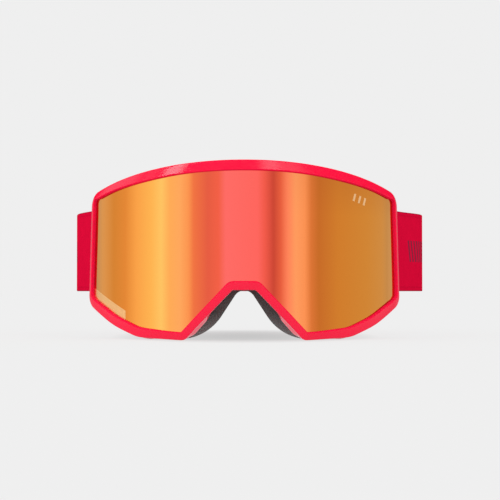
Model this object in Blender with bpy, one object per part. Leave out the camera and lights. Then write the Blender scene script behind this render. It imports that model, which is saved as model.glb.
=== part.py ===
"""Ski goggles with a cylindrical double lens, a moulded frame and an elastic head strap.

Units are metres. +X is the right side as seen from the front, +Y runs from the lens to the wearer, +Z is up.
The origin lies on the floor, under the middle of the whole object's box.

The lens, the front frame and the gasket are laid out on the unrolled lens, with `s` along its curve, `depth`
behind its front surface and `z` up, and then bent round the lens's axis. The foam and the rear flange of the
face frame are laid out on the wearer's face, with `x` across, `depth` in front of the skin and `z` up.
"""

import math

import bmesh
import bpy
from mathutils import Matrix, Vector

MM = 0.001
FIT_GAP = 0.3 * MM  # between pieces that touch on the real goggles

# Lens and face curvature
LENS_RADIUS = 108 * MM
FACE_RADIUS = 105 * MM
BROW_DEPTH = 43 * MM  # lens front to skin, at the forehead
NOSE_DEPTH = 36 * MM  # lens front to skin, at the nose bridge
NOSE_BRIDGE_Z = 27 * MM
BROW_Z = 75 * MM

# Front outline, on the unrolled lens: top, temple, cheek and nose corners
FRONT_TOP_Z = 98.1 * MM
FRONT_TOP_RADIUS = 285 * MM
NOSE_TOP_Z = 27.3 * MM

# Rear outline, on the face
REAR_TOP_Z = 95 * MM
REAR_NOSE_Z = 27 * MM
REAR_TOP_RADIUS = 300 * MM

# Front frame
RIM_WIDTHS = (  # (station of the front outline, visible width round the lens)
    (0, 5.9 * MM),
    (6, 5.7 * MM),
    (14, 4.3 * MM),
    (19, 5.0 * MM),
    (22, 5.0 * MM),
    (28, 6.0 * MM),
    (33, 5.7 * MM),
    (37, 4.45 * MM),
    (41, 4.45 * MM),
    (44, 4.6 * MM),
    (51, 5.0 * MM),
)
RIM_PROUD = 1.9 * MM  # how far its crest stands in front of the lens
RIM_CREST_INSET = 1.1 * MM  # from the crest to the rim's inner edge
RIM_EDGE_BEVEL = 0.3 * MM
RIM_EDGE_PROUD = 1.5 * MM
RIM_SHOULDER = 0.4 * MM
RIM_SHOULDER_PROUD = 1.0 * MM
RIM_SIDE_PROUD = 0.6 * MM
RIM_SIDE_BACK = 1.2 * MM  # where the outer side starts to lean in, behind the lens's front
RIM_BACK = 6.0 * MM
RIM_WALL = 1.7 * MM
NOSE_WALL = 1.2 * MM  # the rim's wall at the top of the nose arch
NOSE_FLARE = 1.8 * MM  # how much thicker it grows towards the nose along the arch's lower half
FLARE_TOP_Z, FLARE_FULL_Z, FLARE_END_Z = 17 * MM, 10 * MM, 4 * MM

# Lens stack, as depths behind the lens's front surface
LENS_OFFSET = 2.6 * MM  # lens edge, inside the front outline
OUTER_LENS_THICKNESS = 2.2 * MM
GASKET_FRONT = OUTER_LENS_THICKNESS + FIT_GAP
GASKET_BACK = 4.7 * MM
GASKET_INSET = 0.4 * MM
GASKET_WIDTH = 4.8 * MM
INNER_LENS_FRONT = GASKET_BACK + FIT_GAP
INNER_LENS_BACK = 6.0 * MM
LENS_COLUMN = 6 * MM  # spacing of the lens's straight vertical facets

# Face frame
SHELF_FRONT = RIM_BACK + FIT_GAP
SHELF_THICKNESS = 1.7 * MM
SHELF_OUTER = 0.9 * MM
SHELF_WIDTH = 6.8 * MM
TIP_INSET = 4.3 * MM  # widest inset where the outline turns tightly round a nose tip
WALL = 1.8 * MM
FLANGE_WIDTH = 12.5 * MM
NOSE_FLANGE_SETBACK = 6.3 * MM  # foam stands this far past the flange in the nose arch

# Foam sandwich, as depths in front of the skin
FLEECE_BACK, FLEECE_FRONT = 0.0 * MM, 1.2 * MM
COMFORT_BACK, COMFORT_FRONT = 1.5 * MM, 9.5 * MM
BASE_BACK, BASE_FRONT = 9.8 * MM, 16.8 * MM
FLANGE_BACK, FLANGE_FRONT = 17.1 * MM, 18.9 * MM
FOAM_WIDTH = 13.5 * MM
FLEECE_INNER = 12.0 * MM

# Vents through the face frame's wall, and the filter foam behind them
TOP_VENT_COUNT = 7
TOP_VENT_SPACING = 16.5 * MM
TOP_VENT_LENGTH = 12 * MM
TOP_VENT_SLOT = 5.5 * MM
LOW_VENT_CENTRES = (38 * MM, 52 * MM)
LOW_VENT_LENGTH = 10 * MM
LOW_VENT_SLOT = 4.5 * MM
FILTER_THICKNESS = 2.0 * MM
FILTER_GAP = 0.7 * MM
FILTER_MARGIN = 0.2  # share of the wall left bare at the front and at the back

# Strap
STRAP_LOW_Z, STRAP_HIGH_Z = 26.7 * MM, 73.3 * MM
STRAP_THICKNESS = 1.4 * MM
STRAP_LAYER_STEP = 1.9 * MM  # centre to centre where the webbing is doubled
STRAP_HEADING = math.radians(22)  # how far it leans outward where it leaves the outrigger
STRAP_SIDE_LENGTH = 28 * MM
STRAP_SIDE_RADIUS = 90 * MM
STRAP_TURN_RADIUS = 60 * MM
STRAP_TURN = math.radians(50)
SLIDER_ZONE = 34 * MM  # straight stretch that the slider travels on
STRAP_SPLICE = 14 * MM  # where the flexing end meets the rear band
END_STEP, BAND_STEP = 5 * MM, 7 * MM  # spacing of the webbing's flat facets
STRAP_TAIL = 9 * MM
SLIDER_TRAVEL = 10 * MM

# Outrigger and its hinge
PIN_X, PIN_DEPTH = 84.0 * MM, 55.0 * MM
BAR_X, BAR_DEPTH = 86.0 * MM, 68.4 * MM
BARREL_RADIUS = 2.6 * MM
PIN_RADIUS = 1.2 * MM
PIN_HOLE_RADIUS = 1.5 * MM
PIN_HEAD_RADIUS = 2.1 * MM
PIN_HEAD_EDGE, PIN_HEAD_HEIGHT = 0.6 * MM, 1.1 * MM
PIN_END = 0.6 * MM  # how far its lower end stands out of the lug
HOLE_OVERRUN = 3 * MM  # how far a cutter runs past what it cuts
LUG_ROOT_X = 78.2 * MM  # inside the face frame's wall
LUG_ROOT_SHIFT = 0.8 * MM  # the root stands this far forward of the pin, clear of the foam
LUG_ROOT_LENGTH = 3.6 * MM
PLATE_THICKNESS = 2.4 * MM
PLATE_SHOULDER = 1.6 * MM
BARREL_SHOULDER = 0.8 * MM
BAR_WIDTH = 2.4 * MM
WINDOW_LENGTH = 4.6 * MM
BARREL_LOW_Z, BARREL_HIGH_Z = 34.5 * MM, 65.5 * MM
LUG_LOW_Z, LUG_HIGH_Z = 28.5 * MM, 71.5 * MM
PLATE_LOW_Z, PLATE_HIGH_Z = 23.7 * MM, 76.3 * MM
STRAP_WRAP_RADIUS = 2.7 * MM  # centre of the webbing round the outrigger's bar

# Slider
SLIDER_HALF_LENGTH = 6.5 * MM
SLIDER_BAR_WIDTH = 2.6 * MM
SLIDER_BAR_THICKNESS = 1.8 * MM
SLIDER_CLEARANCE = 0.4 * MM
SLIDER_CAP = 1.8 * MM  # height of each end plate
SLIDER_CAP_GAP = 0.5 * MM
SLIDER_INNER_BAR_WIDTH = 2.0 * MM
SLIDER_WRAP_SLACK = 0.25 * MM  # between the sewn end and the bar it wraps
SLIDER_OVERLAP = 0.1 * MM  # keeps the bars' faces off the plates' faces

# Silicone grip beads on the inside of the rear band
BEAD_HEIGHT = 2.0 * MM
BEAD_THICKNESS = 0.6 * MM
BEAD_SPACING = 11 * MM
BEAD_HALF_SPAN = 55 * MM
BEAD_STEP = 8 * MM

# Round shapes
PIN_SIDES = 16
TURN_STEPS = 8

STRAP_MIDDLE_Z = (STRAP_LOW_Z + STRAP_HIGH_Z) / 2


def strap_start():
    """Where the outer layer leaves the outrigger's bar, as (x, depth behind the lens)."""
    out = (math.cos(STRAP_HEADING), -math.sin(STRAP_HEADING))
    return BAR_X + STRAP_WRAP_RADIUS * out[0], BAR_DEPTH + STRAP_WRAP_RADIUS * out[1]


def strap_sections():
    """The right half of the strap's centre line as (length, signed radius or None) from bar to back centre.

    A positive radius turns towards the wearer's head. The last radius makes the half end square on X = 0."""
    x = strap_start()[0] + STRAP_SIDE_LENGTH * math.sin(STRAP_HEADING)
    x += STRAP_SIDE_RADIUS * (1 - math.cos(STRAP_HEADING))
    x -= STRAP_TURN_RADIUS * (1 - math.cos(STRAP_TURN))
    x -= SLIDER_ZONE * math.sin(STRAP_TURN)
    rear_radius = x / math.cos(STRAP_TURN)
    return [
        (STRAP_SIDE_LENGTH, None),
        (STRAP_SIDE_RADIUS * STRAP_HEADING, STRAP_SIDE_RADIUS),
        (STRAP_TURN_RADIUS * STRAP_TURN, STRAP_TURN_RADIUS),
        (SLIDER_ZONE, None),
        (rear_radius * (math.pi / 2 - STRAP_TURN), rear_radius),
    ]


def strap_length():
    """Half the strap's length, from the outrigger's bar to the back centre."""
    return sum(length for length, _ in strap_sections())


def slider_place():
    """Distance along the strap from the outrigger's bar to the slider's centre."""
    return sum(length for length, _ in strap_sections()[:3]) + SLIDER_ZONE / 2


def strap_point(along, outward=0.0):
    """(x, depth) on the right half of the strap, `along` it from the bar, moved `outward` from its centre line."""
    x, depth = strap_start()
    heading = STRAP_HEADING
    for length, radius in strap_sections():
        step = min(along, length)
        if radius is None:
            x += step * math.sin(heading)
            depth += step * math.cos(heading)
        else:
            after = heading - step / radius
            x += radius * (math.cos(after) - math.cos(heading))
            depth += radius * (math.sin(heading) - math.sin(after))
            heading = after
        along -= step
        if along <= 0:
            break
    return x + outward * math.cos(heading), depth - outward * math.sin(heading)


def overall_depth():
    """From the front frame's crest to the back of the strap."""
    return RIM_PROUD + strap_point(strap_length())[1] + STRAP_THICKNESS / 2


LENS_FRONT_Y = RIM_PROUD - overall_depth() / 2


def bend(s, depth, z):
    """A point of the unrolled lens, bent round the lens's vertical axis."""
    angle = s / LENS_RADIUS
    radius = LENS_RADIUS - depth
    return Vector((radius * math.sin(angle), LENS_FRONT_Y + LENS_RADIUS - radius * math.cos(angle), z))


def smooth_step(t):
    t = max(0.0, min(1.0, t))
    return t * t * (3 - 2 * t)


def face_point(x, depth, z):
    """A point `depth` in front of the wearer's skin."""
    share = smooth_step((z - NOSE_BRIDGE_Z) / (BROW_Z - NOSE_BRIDGE_Z))
    centre = NOSE_DEPTH + (BROW_DEPTH - NOSE_DEPTH) * share
    curve = FACE_RADIUS - math.sqrt(FACE_RADIUS**2 - min(abs(x), FACE_RADIUS) ** 2)
    return Vector((x, LENS_FRONT_Y + centre + curve - depth, z))


def plan(x, depth, z):
    """A point at x and z, `depth` behind the lens's front surface, as the strap and the hinges are given."""
    return Vector((x, LENS_FRONT_Y + depth, z))


# Outlines -----------------------------------------------------------------------------------------------------


def half_outline(start, corners, end):
    """Stations along the right half of a closed outline with rounded corners, as (u, z, inward u, inward z).

    Each corner is (u, z, radius, steps round its arc, steps along the straight before it)."""
    points = [start] + [corner[:2] for corner in corners] + [end]
    stations = []
    last = Vector(start)
    for i, (u, z, radius, arc_steps, line_steps) in enumerate(corners):
        corner = Vector((u, z))
        before = (corner - Vector(points[i])).normalized()
        after = (Vector(points[i + 2]) - corner).normalized()
        turn = before.angle_signed(after)  # positive is clockwise, which is convex here
        reach = radius * math.tan(abs(turn) / 2)
        arc_start = corner - before * reach
        inward = Vector((before.y, -before.x))
        for step in range(line_steps):
            if step or not stations:
                on_line = last.lerp(arc_start, step / line_steps)
                stations.append((on_line.x, on_line.y, inward.x, inward.y))
        centre = arc_start + inward * math.copysign(radius, turn)
        for step in range(arc_steps + 1):
            angle = math.atan2(inward.y, inward.x) - turn * step / arc_steps
            normal = Vector((math.cos(angle), math.sin(angle)))
            point = centre - normal * math.copysign(radius, turn)
            stations.append((point.x, point.y, normal.x, normal.y))
        last = corner + after * reach
    stations[0] = (*start, 0.0, -1.0)
    stations.append((*end, 0.0, 1.0))
    return stations


def whole(half):
    """Both halves of an outline, from the top centre round the right side and back up the left."""
    left = [(-u, z, -nu, nz) for u, z, nu, nz in reversed(half[1:-1])]
    return half + left


FRONT = whole(
    half_outline(
        (0, FRONT_TOP_Z),
        [
            (46.2 * MM, FRONT_TOP_Z, FRONT_TOP_RADIUS, 12, 0),
            (99.05 * MM, 80.8 * MM, 9.5 * MM, 5, 1),
            (102.0 * MM, 19.6 * MM, 8 * MM, 4, 4),
            (79.8 * MM, 7.8 * MM, 80 * MM, 2, 2),
            (61.8 * MM, 1.4 * MM, 25 * MM, 2, 2),
            (32.9 * MM, -0.08 * MM, 4.5 * MM, 4, 3),
            (6.3 * MM, NOSE_TOP_Z, 1.5 * MM, 3, 6),
        ],
        (0, NOSE_TOP_Z),
    )
)
REAR = whole(
    half_outline(
        (0, REAR_TOP_Z),
        [
            (34.0 * MM, REAR_TOP_Z, REAR_TOP_RADIUS, 12, 0),
            (79.0 * MM, 84.7 * MM, 15 * MM, 5, 1),
            (79.0 * MM, 15.0 * MM, 16 * MM, 5, 4),
            (58.0 * MM, 0.0 * MM, 18 * MM, 3, 4),
            (21.0 * MM, 0.0 * MM, 28 * MM, 4, 3),
            (3.3 * MM, REAR_NOSE_Z, 6.1 * MM, 3, 6),
        ],
        (0, REAR_NOSE_Z),
    )
)
assert len(FRONT) == len(REAR)  # the two outlines are joined station by station
TOP_STEPS = 13  # stations from the top centre to the temple corner's start
LOW_FIRST, LOW_LAST = 31, 37  # stations of the cheek's underside
LOW_SEARCH = 4  # more stations on each side, among which a low vent may lie
NOSE_FIRST = 34  # where the foam begins to overhang the flange, ahead of the nose corner
TIP_FIRST, TIP_LAST = 37, 41  # stations round the nose tip


def nose_share(i):
    """0 away from the nose, rising to 1 along the nose arch, at station i."""
    nearest = min(i % len(FRONT), -i % len(FRONT))
    return smooth_step((nearest - NOSE_FIRST) / 4)


def tip_inset(i, inset):
    """The inset, or less of it near a nose tip, at station i."""
    nearest = min(i % len(FRONT), -i % len(FRONT))
    away = max(TIP_FIRST - nearest, nearest - TIP_LAST, 0)
    return TIP_INSET + (inset - TIP_INSET) * smooth_step(away / 3)


def front_at(i, offset, depth):
    """A point `offset` inside the front outline at station i, `depth` behind the lens's front surface."""
    s, z, inward_s, inward_z = FRONT[i % len(FRONT)]
    return bend(s + inward_s * offset, depth, z + inward_z * offset)


def rear_at(i, offset, depth):
    """A point `offset` inside the rear outline at station i, `depth` in front of the skin."""
    x, z, inward_x, inward_z = REAR[i % len(REAR)]
    return face_point(x + inward_x * offset, depth, z + inward_z * offset)


# Mesh helpers -------------------------------------------------------------------------------------------------


def material(name, colour, roughness, metallic=0.0):
    made = bpy.data.materials.new(name)
    made.use_nodes = True
    shader = made.node_tree.nodes["Principled BSDF"]
    shader.inputs["Base Color"].default_value = (*colour, 1)
    shader.inputs["Roughness"].default_value = roughness
    shader.inputs["Metallic"].default_value = metallic
    return made


def is_twisted(face):
    """Whether a four-sided face bows out of its plane."""
    first = face.verts[0].co
    return any(abs((vert.co - first).dot(face.normal)) > MM / 1000 for vert in face.verts)


def add_object(name, mesh_data, finish, helper=False):
    """Closes a bmesh into an object whose faces point out."""
    bmesh.ops.recalc_face_normals(mesh_data, faces=mesh_data.faces)
    mesh_data.normal_update()
    twisted = [face for face in mesh_data.faces if is_twisted(face)]
    bmesh.ops.triangulate(mesh_data, faces=twisted, quad_method="SHORT_EDGE")
    mesh = bpy.data.meshes.new(name)
    mesh_data.to_mesh(mesh)
    mesh_data.free()
    mesh.materials.append(finish)
    mesh.shade_smooth()
    mesh.set_sharp_from_angle(angle=math.radians(35))
    made = bpy.data.objects.new(name, mesh)
    bpy.context.scene.collection.objects.link(made)
    if helper:
        made.hide_render = True
        made.display_type = "WIRE"
    return made


def add_rows(mesh_data, rows, closed):
    """Adds a solid swept through rows of section points; a closed one meets its own start, others get end caps."""
    verts = [[mesh_data.verts.new(point) for point in row] for row in rows]
    count, sides = len(rows), len(rows[0])
    for i in range(count if closed else count - 1):
        here, there = verts[i], verts[(i + 1) % count]
        for j in range(sides):
            k = (j + 1) % sides
            mesh_data.faces.new((here[j], here[k], there[k], there[j]))
    if not closed:
        mesh_data.faces.new(verts[0])
        mesh_data.faces.new(verts[-1])


def swept(name, rows, finish, closed=True, helper=False):
    mesh_data = bmesh.new()
    add_rows(mesh_data, rows, closed)
    return add_object(name, mesh_data, finish, helper)


def ring(name, section, finish):
    """A closed ring round the goggles. section(i) gives the section's points at station i."""
    return swept(name, [section(i) for i in range(len(FRONT))], finish)


def prism(name, outline, low_z, high_z, finish, helper=False):
    """An outline of (x, depth) points, extruded from low_z to high_z."""
    rows = [[plan(x, depth, z) for x, depth in outline] for z in (low_z, high_z)]
    return swept(name, rows, finish, closed=False, helper=helper)


def turned(name, profile, centre, finish, helper=False):
    """A round piece on a vertical axis. The profile is (radius, z) from bottom to top."""
    rows = []
    for radius, z in profile:
        row = []
        for k in range(PIN_SIDES):
            angle = 2 * math.pi * k / PIN_SIDES
            row.append(plan(centre[0] + radius * math.cos(angle), centre[1] + radius * math.sin(angle), z))
        rows.append(row)
    return swept(name, rows, finish, closed=False, helper=helper)


def add_boolean(target, tool, operation):
    modifier = target.modifiers.new(tool.name, "BOOLEAN")
    modifier.object = tool
    modifier.operation = operation
    modifier.solver = "EXACT"


def place_origin(moving, point):
    """Moves a piece's origin onto its joint's axis, its shape staying put, and hangs its cutters from it."""
    moving.data.transform(Matrix.Translation(-point))
    moving.location = point
    for modifier in moving.modifiers:
        modifier.object.parent = moving
        modifier.object.matrix_parent_inverse = Matrix.Translation(-point)


def mirrored(points, side):
    """Points of the right side, or their mirror image for side -1."""
    return [(side * x, depth) for x, depth in points]


# Lens stack and frame -----------------------------------------------------------------------------------------


def lens_plate(name, depth_front, depth_back, finish):
    """A plate cut to the lens's outline and bent round the lens's axis."""
    mesh_data = bmesh.new()
    corners = []
    for s, z, inward_s, inward_z in FRONT:
        point = (s + inward_s * LENS_OFFSET, depth_front, z + inward_z * LENS_OFFSET)
        corners.append(mesh_data.verts.new(point))
    mesh_data.faces.new(corners)
    half_span = max(v.co.x for v in corners)
    columns = int(half_span / LENS_COLUMN)
    for k in range(-columns, columns + 1):
        everything = list(mesh_data.verts) + list(mesh_data.edges) + list(mesh_data.faces)
        bmesh.ops.bisect_plane(
            mesh_data, geom=everything, dist=MM / 1000, plane_co=(k * LENS_COLUMN, 0, 0), plane_no=(1, 0, 0)
        )
    bmesh.ops.dissolve_degenerate(mesh_data, dist=MM / 100, edges=mesh_data.edges)
    extruded = bmesh.ops.extrude_face_region(mesh_data, geom=list(mesh_data.faces))
    for item in extruded["geom"]:
        if isinstance(item, bmesh.types.BMVert):
            item.co.y = depth_back
    bmesh.ops.triangulate(mesh_data, faces=list(mesh_data.faces))
    for vert in mesh_data.verts:
        vert.co = bend(vert.co.x, vert.co.y, vert.co.z)
    return add_object(name, mesh_data, finish)


def rim_width(i):
    """The rim's visible width at station i, between the widths given at a few stations."""
    nearest = min(i % len(FRONT), -i % len(FRONT))
    for (low, low_width), (high, high_width) in zip(RIM_WIDTHS, RIM_WIDTHS[1:]):
        if nearest <= high:
            return low_width + (high_width - low_width) * (nearest - low) / (high - low)
    return RIM_WIDTHS[-1][1]


def rim_wall(i):
    """The thickness of the rim's wall at its back edge at station i: thin over the nose, flared below."""
    z = FRONT[i % len(FRONT)][1]
    flared = smooth_step((FLARE_TOP_Z - z) / (FLARE_TOP_Z - FLARE_FULL_Z)) * smooth_step(z / FLARE_END_Z)
    return RIM_WALL + nose_share(i) * (NOSE_WALL - RIM_WALL + NOSE_FLARE * flared)


def rim_section(i):
    """The front frame: a lip over the lens and a wall round the lens stack."""
    width = rim_width(i)
    wall_in = LENS_OFFSET - FIT_GAP
    profile = [
        (0.0, RIM_SIDE_BACK),
        (0.0, -RIM_SIDE_PROUD),
        (RIM_SHOULDER, -RIM_SHOULDER_PROUD),
        (width - RIM_CREST_INSET, -RIM_PROUD),
        (width - RIM_EDGE_BEVEL, -RIM_EDGE_PROUD),
        (width, -FIT_GAP),
        (wall_in, -FIT_GAP),
        (wall_in, RIM_BACK),
        (wall_in - rim_wall(i), RIM_BACK),
    ]
    return [front_at(i, offset, depth) for offset, depth in profile]


def gasket_section(i):
    outer = LENS_OFFSET + GASKET_INSET
    inner = tip_inset(i, outer + GASKET_WIDTH)
    corners = [(outer, GASKET_FRONT), (inner, GASKET_FRONT), (inner, GASKET_BACK), (outer, GASKET_BACK)]
    return [front_at(i, offset, depth) for offset, depth in corners]


def face_frame_section(i):
    """A shelf behind the lens stack, the vented wall, and the flange that carries the foam."""
    setback = NOSE_FLANGE_SETBACK * nose_share(i)
    shelf_back = SHELF_FRONT + SHELF_THICKNESS
    shelf_in = tip_inset(i, SHELF_WIDTH)
    return [
        front_at(i, SHELF_OUTER, SHELF_FRONT),
        rear_at(i, setback, FLANGE_FRONT),
        rear_at(i, setback, FLANGE_BACK),
        rear_at(i, FLANGE_WIDTH, FLANGE_BACK),
        rear_at(i, FLANGE_WIDTH, FLANGE_FRONT),
        rear_at(i, setback + WALL, FLANGE_FRONT),
        front_at(i, SHELF_OUTER + WALL, shelf_back),
        front_at(i, shelf_in, shelf_back),
        front_at(i, shelf_in, SHELF_FRONT),
    ]


def wall_at(i, share, inward):
    """A point of the face frame's wall: share 0 at the shelf and 1 at the flange, `inward` from its outer face."""
    setback = NOSE_FLANGE_SETBACK * nose_share(i)
    front = front_at(i, SHELF_OUTER + inward, SHELF_FRONT + SHELF_THICKNESS)
    rear = rear_at(i, setback + inward, FLANGE_FRONT)
    return front.lerp(rear, share)


def vent_cutter(name, index_float, share, length, slot, finish):
    """A block through the wall, centred between the shelf and the flange at a fractional station."""
    i = int(math.floor(index_float))
    centre = wall_at(i, share, WALL / 2).lerp(wall_at(i + 1, share, WALL / 2), index_float - i)
    along = (wall_at(i + 1, share, 0) - wall_at(i, share, 0)).normalized()
    backward = (wall_at(i, 1.0, 0) - wall_at(i, 0.0, 0)).normalized()
    through = along.cross(backward).normalized()
    backward = through.cross(along).normalized()
    rows = []
    for end in (-1, 1):
        row = []
        for a, b in ((-1, -1), (1, -1), (1, 1), (-1, 1)):
            point = centre + along * (a * length / 2) + backward * (b * slot / 2)
            row.append(point + through * (end * 3 * WALL))
        rows.append(row)
    return swept(name, rows, finish, closed=False, helper=True)


def station_near(value, first, last, read):
    """The fractional station between first and last where read(station) passes `value`."""
    for i in range(first, last):
        low, high = read(i), read(i + 1)
        if min(low, high) <= value <= max(low, high) and low != high:
            return i + (value - low) / (high - low)
    raise ValueError("no station there")


def build_face_frame(red):
    frame = ring("face_frame", face_frame_section, red)

    def mid_x(i):
        return wall_at(i, 0.5, 0).x

    cutters = []
    for k in range(TOP_VENT_COUNT):
        x = (k - (TOP_VENT_COUNT - 1) / 2) * TOP_VENT_SPACING
        place = station_near(x, -TOP_STEPS, TOP_STEPS, mid_x)
        cutters.append(vent_cutter(f"top_vent_cut_{k}", place, 0.5, TOP_VENT_LENGTH, TOP_VENT_SLOT, red))
    for side in (-1, 1):
        for k, x in enumerate(LOW_VENT_CENTRES):
            first = LOW_FIRST - LOW_SEARCH if side > 0 else -LOW_LAST - LOW_SEARCH
            last = LOW_LAST + LOW_SEARCH if side > 0 else -LOW_FIRST + LOW_SEARCH
            place = station_near(side * x, first, last, mid_x)
            name = f"low_vent_cut_{side}_{k}"
            cutters.append(vent_cutter(name, place, 0.5, LOW_VENT_LENGTH, LOW_VENT_SLOT, red))
    for cutter in cutters:
        add_boolean(frame, cutter, "DIFFERENCE")
    for side in (-1, 1):
        for low_z, high_z in ((LUG_LOW_Z, BARREL_LOW_Z - FIT_GAP), (BARREL_HIGH_Z + FIT_GAP, LUG_HIGH_Z)):
            outline = mirrored(lug_outline(), side)
            lug = prism(f"lug_{side}_{low_z:.3f}", outline, low_z, high_z, red, helper=True)
            add_boolean(frame, lug, "UNION")
        hole = turned(
            f"lug_hole_{side}",
            [(PIN_HOLE_RADIUS, LUG_LOW_Z - HOLE_OVERRUN), (PIN_HOLE_RADIUS, LUG_HIGH_Z + HOLE_OVERRUN)],
            (side * PIN_X, PIN_DEPTH),
            red,
            helper=True,
        )
        add_boolean(frame, hole, "DIFFERENCE")
    return frame


def lug_outline():
    """Plan of a hinge lug on the right side: a tongue from the frame's wall, rounded about the pin."""
    root_depth = PIN_DEPTH - LUG_ROOT_SHIFT
    points = [(LUG_ROOT_X, root_depth), (LUG_ROOT_X, root_depth - LUG_ROOT_LENGTH)]
    for k in range(TURN_STEPS + 1):
        angle = -math.pi / 2 + math.pi * k / TURN_STEPS
        x = PIN_X + BARREL_RADIUS * math.cos(angle)
        points.append((x, PIN_DEPTH + BARREL_RADIUS * math.sin(angle)))
    return points


def filter_strip(name, first, last, finish):
    """Filter foam glued inside the wall, between two stations."""
    rows = []
    for i in range(first, last + 1):
        setback = NOSE_FLANGE_SETBACK * nose_share(i)
        front = front_at(i, SHELF_OUTER + WALL, SHELF_FRONT + SHELF_THICKNESS)
        rear = rear_at(i, setback + WALL, FLANGE_FRONT)
        inner_front = front_at(i, SHELF_WIDTH, SHELF_FRONT + SHELF_THICKNESS)
        inner_rear = rear_at(i, FLANGE_WIDTH, FLANGE_FRONT)
        inside = inner_front.lerp(inner_rear, 0.5) - front.lerp(rear, 0.5)
        inward = (inside - inside.project(rear - front)).normalized()
        near = inward * FILTER_GAP
        far = inward * (FILTER_GAP + FILTER_THICKNESS)
        low, high = front.lerp(rear, FILTER_MARGIN), front.lerp(rear, 1 - FILTER_MARGIN)
        rows.append([low + near, high + near, high + far, low + far])
    return swept(name, rows, finish, closed=False)


# Foam ---------------------------------------------------------------------------------------------------------


def foam_section(back, front, outer, inner, outer_round, inner_round):
    """A foam layer's section: a slab with its two skin-side edges rounded off."""

    def section(i):
        profile = [
            (outer, front),
            (outer, back + outer_round),
            (outer + outer_round, back),
            (inner - inner_round, back),
            (inner, back + inner_round),
            (inner, front),
        ]
        return [rear_at(i, offset, depth) for offset, depth in profile]

    return section


# Outriggers, sliders and strap --------------------------------------------------------------------------------


def plate_point(along, outward):
    """(x, depth) on the right outrigger: `along` it from the pin to the bar, `outward` from its middle plane."""
    direction = Vector((BAR_X - PIN_X, BAR_DEPTH - PIN_DEPTH)).normalized()
    return (
        PIN_X + direction.x * along + direction.y * outward,
        PIN_DEPTH + direction.y * along - direction.x * outward,
    )


def build_outrigger(name, side, finish):
    reach = math.hypot(BAR_X - PIN_X, BAR_DEPTH - PIN_DEPTH)
    bar_front, bar_back = reach - BAR_WIDTH / 2, reach + BAR_WIDTH / 2
    window_front = bar_front - WINDOW_LENGTH
    root, shoulder = BARREL_RADIUS * 0.5, BARREL_RADIUS + BARREL_SHOULDER
    outline = [
        (root, BARREL_LOW_Z),
        (shoulder, BARREL_LOW_Z),
        (window_front - PLATE_SHOULDER, PLATE_LOW_Z),
        (bar_back, PLATE_LOW_Z),
        (bar_back, PLATE_HIGH_Z),
        (window_front - PLATE_SHOULDER, PLATE_HIGH_Z),
        (shoulder, BARREL_HIGH_Z),
        (root, BARREL_HIGH_Z),
    ]
    half = PLATE_THICKNESS / 2
    rows = []
    for outward in (-half, half):
        row = []
        for along, z in outline:
            x, depth = plate_point(along, outward)
            row.append(plan(side * x, depth, z))
        rows.append(row)
    plate = swept(name, rows, finish, closed=False)
    window_rows = []
    for outward in (-3 * half, 3 * half):
        row = []
        for along in (window_front, bar_front):
            x, depth = plate_point(along, outward)
            low, high = STRAP_LOW_Z - SLIDER_CAP_GAP, STRAP_HIGH_Z + SLIDER_CAP_GAP
            for z in (low, high) if along == window_front else (high, low):
                row.append(plan(side * x, depth, z))
        window_rows.append(row)
    window = swept(f"{name}_window", window_rows, finish, closed=False, helper=True)
    barrel = turned(
        f"{name}_barrel",
        [(BARREL_RADIUS, BARREL_LOW_Z), (BARREL_RADIUS, BARREL_HIGH_Z)],
        (side * PIN_X, PIN_DEPTH),
        finish,
        helper=True,
    )
    hole = turned(
        f"{name}_hole",
        [(PIN_HOLE_RADIUS, BARREL_LOW_Z - HOLE_OVERRUN), (PIN_HOLE_RADIUS, BARREL_HIGH_Z + HOLE_OVERRUN)],
        (side * PIN_X, PIN_DEPTH),
        finish,
        helper=True,
    )
    add_boolean(plate, window, "DIFFERENCE")
    add_boolean(plate, barrel, "UNION")
    add_boolean(plate, hole, "DIFFERENCE")
    place_origin(plate, plan(side * PIN_X, PIN_DEPTH, STRAP_MIDDLE_Z))
    return plate


def build_pin(name, side, finish):
    top = LUG_HIGH_Z + FIT_GAP
    profile = [
        (PIN_RADIUS, LUG_LOW_Z - PIN_END),
        (PIN_RADIUS, top),
        (PIN_HEAD_RADIUS, top),
        (PIN_HEAD_RADIUS, top + PIN_HEAD_EDGE),
        (PIN_HEAD_RADIUS * 0.6, top + PIN_HEAD_HEIGHT),
    ]
    return turned(name, profile, (side * PIN_X, PIN_DEPTH), finish)


def ribbon(name, points, finish, thickness=STRAP_THICKNESS, low_z=STRAP_LOW_Z, high_z=STRAP_HIGH_Z):
    """Webbing on edge along a centre line of (x, depth) points."""
    return swept(name, ribbon_rows(points, thickness, low_z, high_z), finish, closed=False)


def ribbon_rows(points, thickness, low_z, high_z):
    rows = []
    for i, (x, depth) in enumerate(points):
        before, after = points[max(i - 1, 0)], points[min(i + 1, len(points) - 1)]
        along = Vector((after[0] - before[0], after[1] - before[1])).normalized()
        out = Vector((along.y, -along.x)) * (thickness / 2)
        rows.append(
            [
                plan(x + out.x, depth + out.y, low_z),
                plan(x + out.x, depth + out.y, high_z),
                plan(x - out.x, depth - out.y, high_z),
                plan(x - out.x, depth - out.y, low_z),
            ]
        )
    return rows


def strap_samples(first, last, outward=0.0, step=END_STEP):
    """Points along the right half of the strap, with one wherever a straight meets an arc."""
    ends, total = [], 0.0
    for length, _ in strap_sections():
        total += length
        ends.append(total)
    count = max(2, round((last - first) / step))
    places = {first + (last - first) * k / count for k in range(count + 1)}
    places = {p for p in places if all(abs(p - e) > step / 4 for e in ends) or p in (first, last)}
    places |= {e for e in ends if first < e < last}
    return [strap_point(p, outward) for p in sorted(places)]


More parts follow.
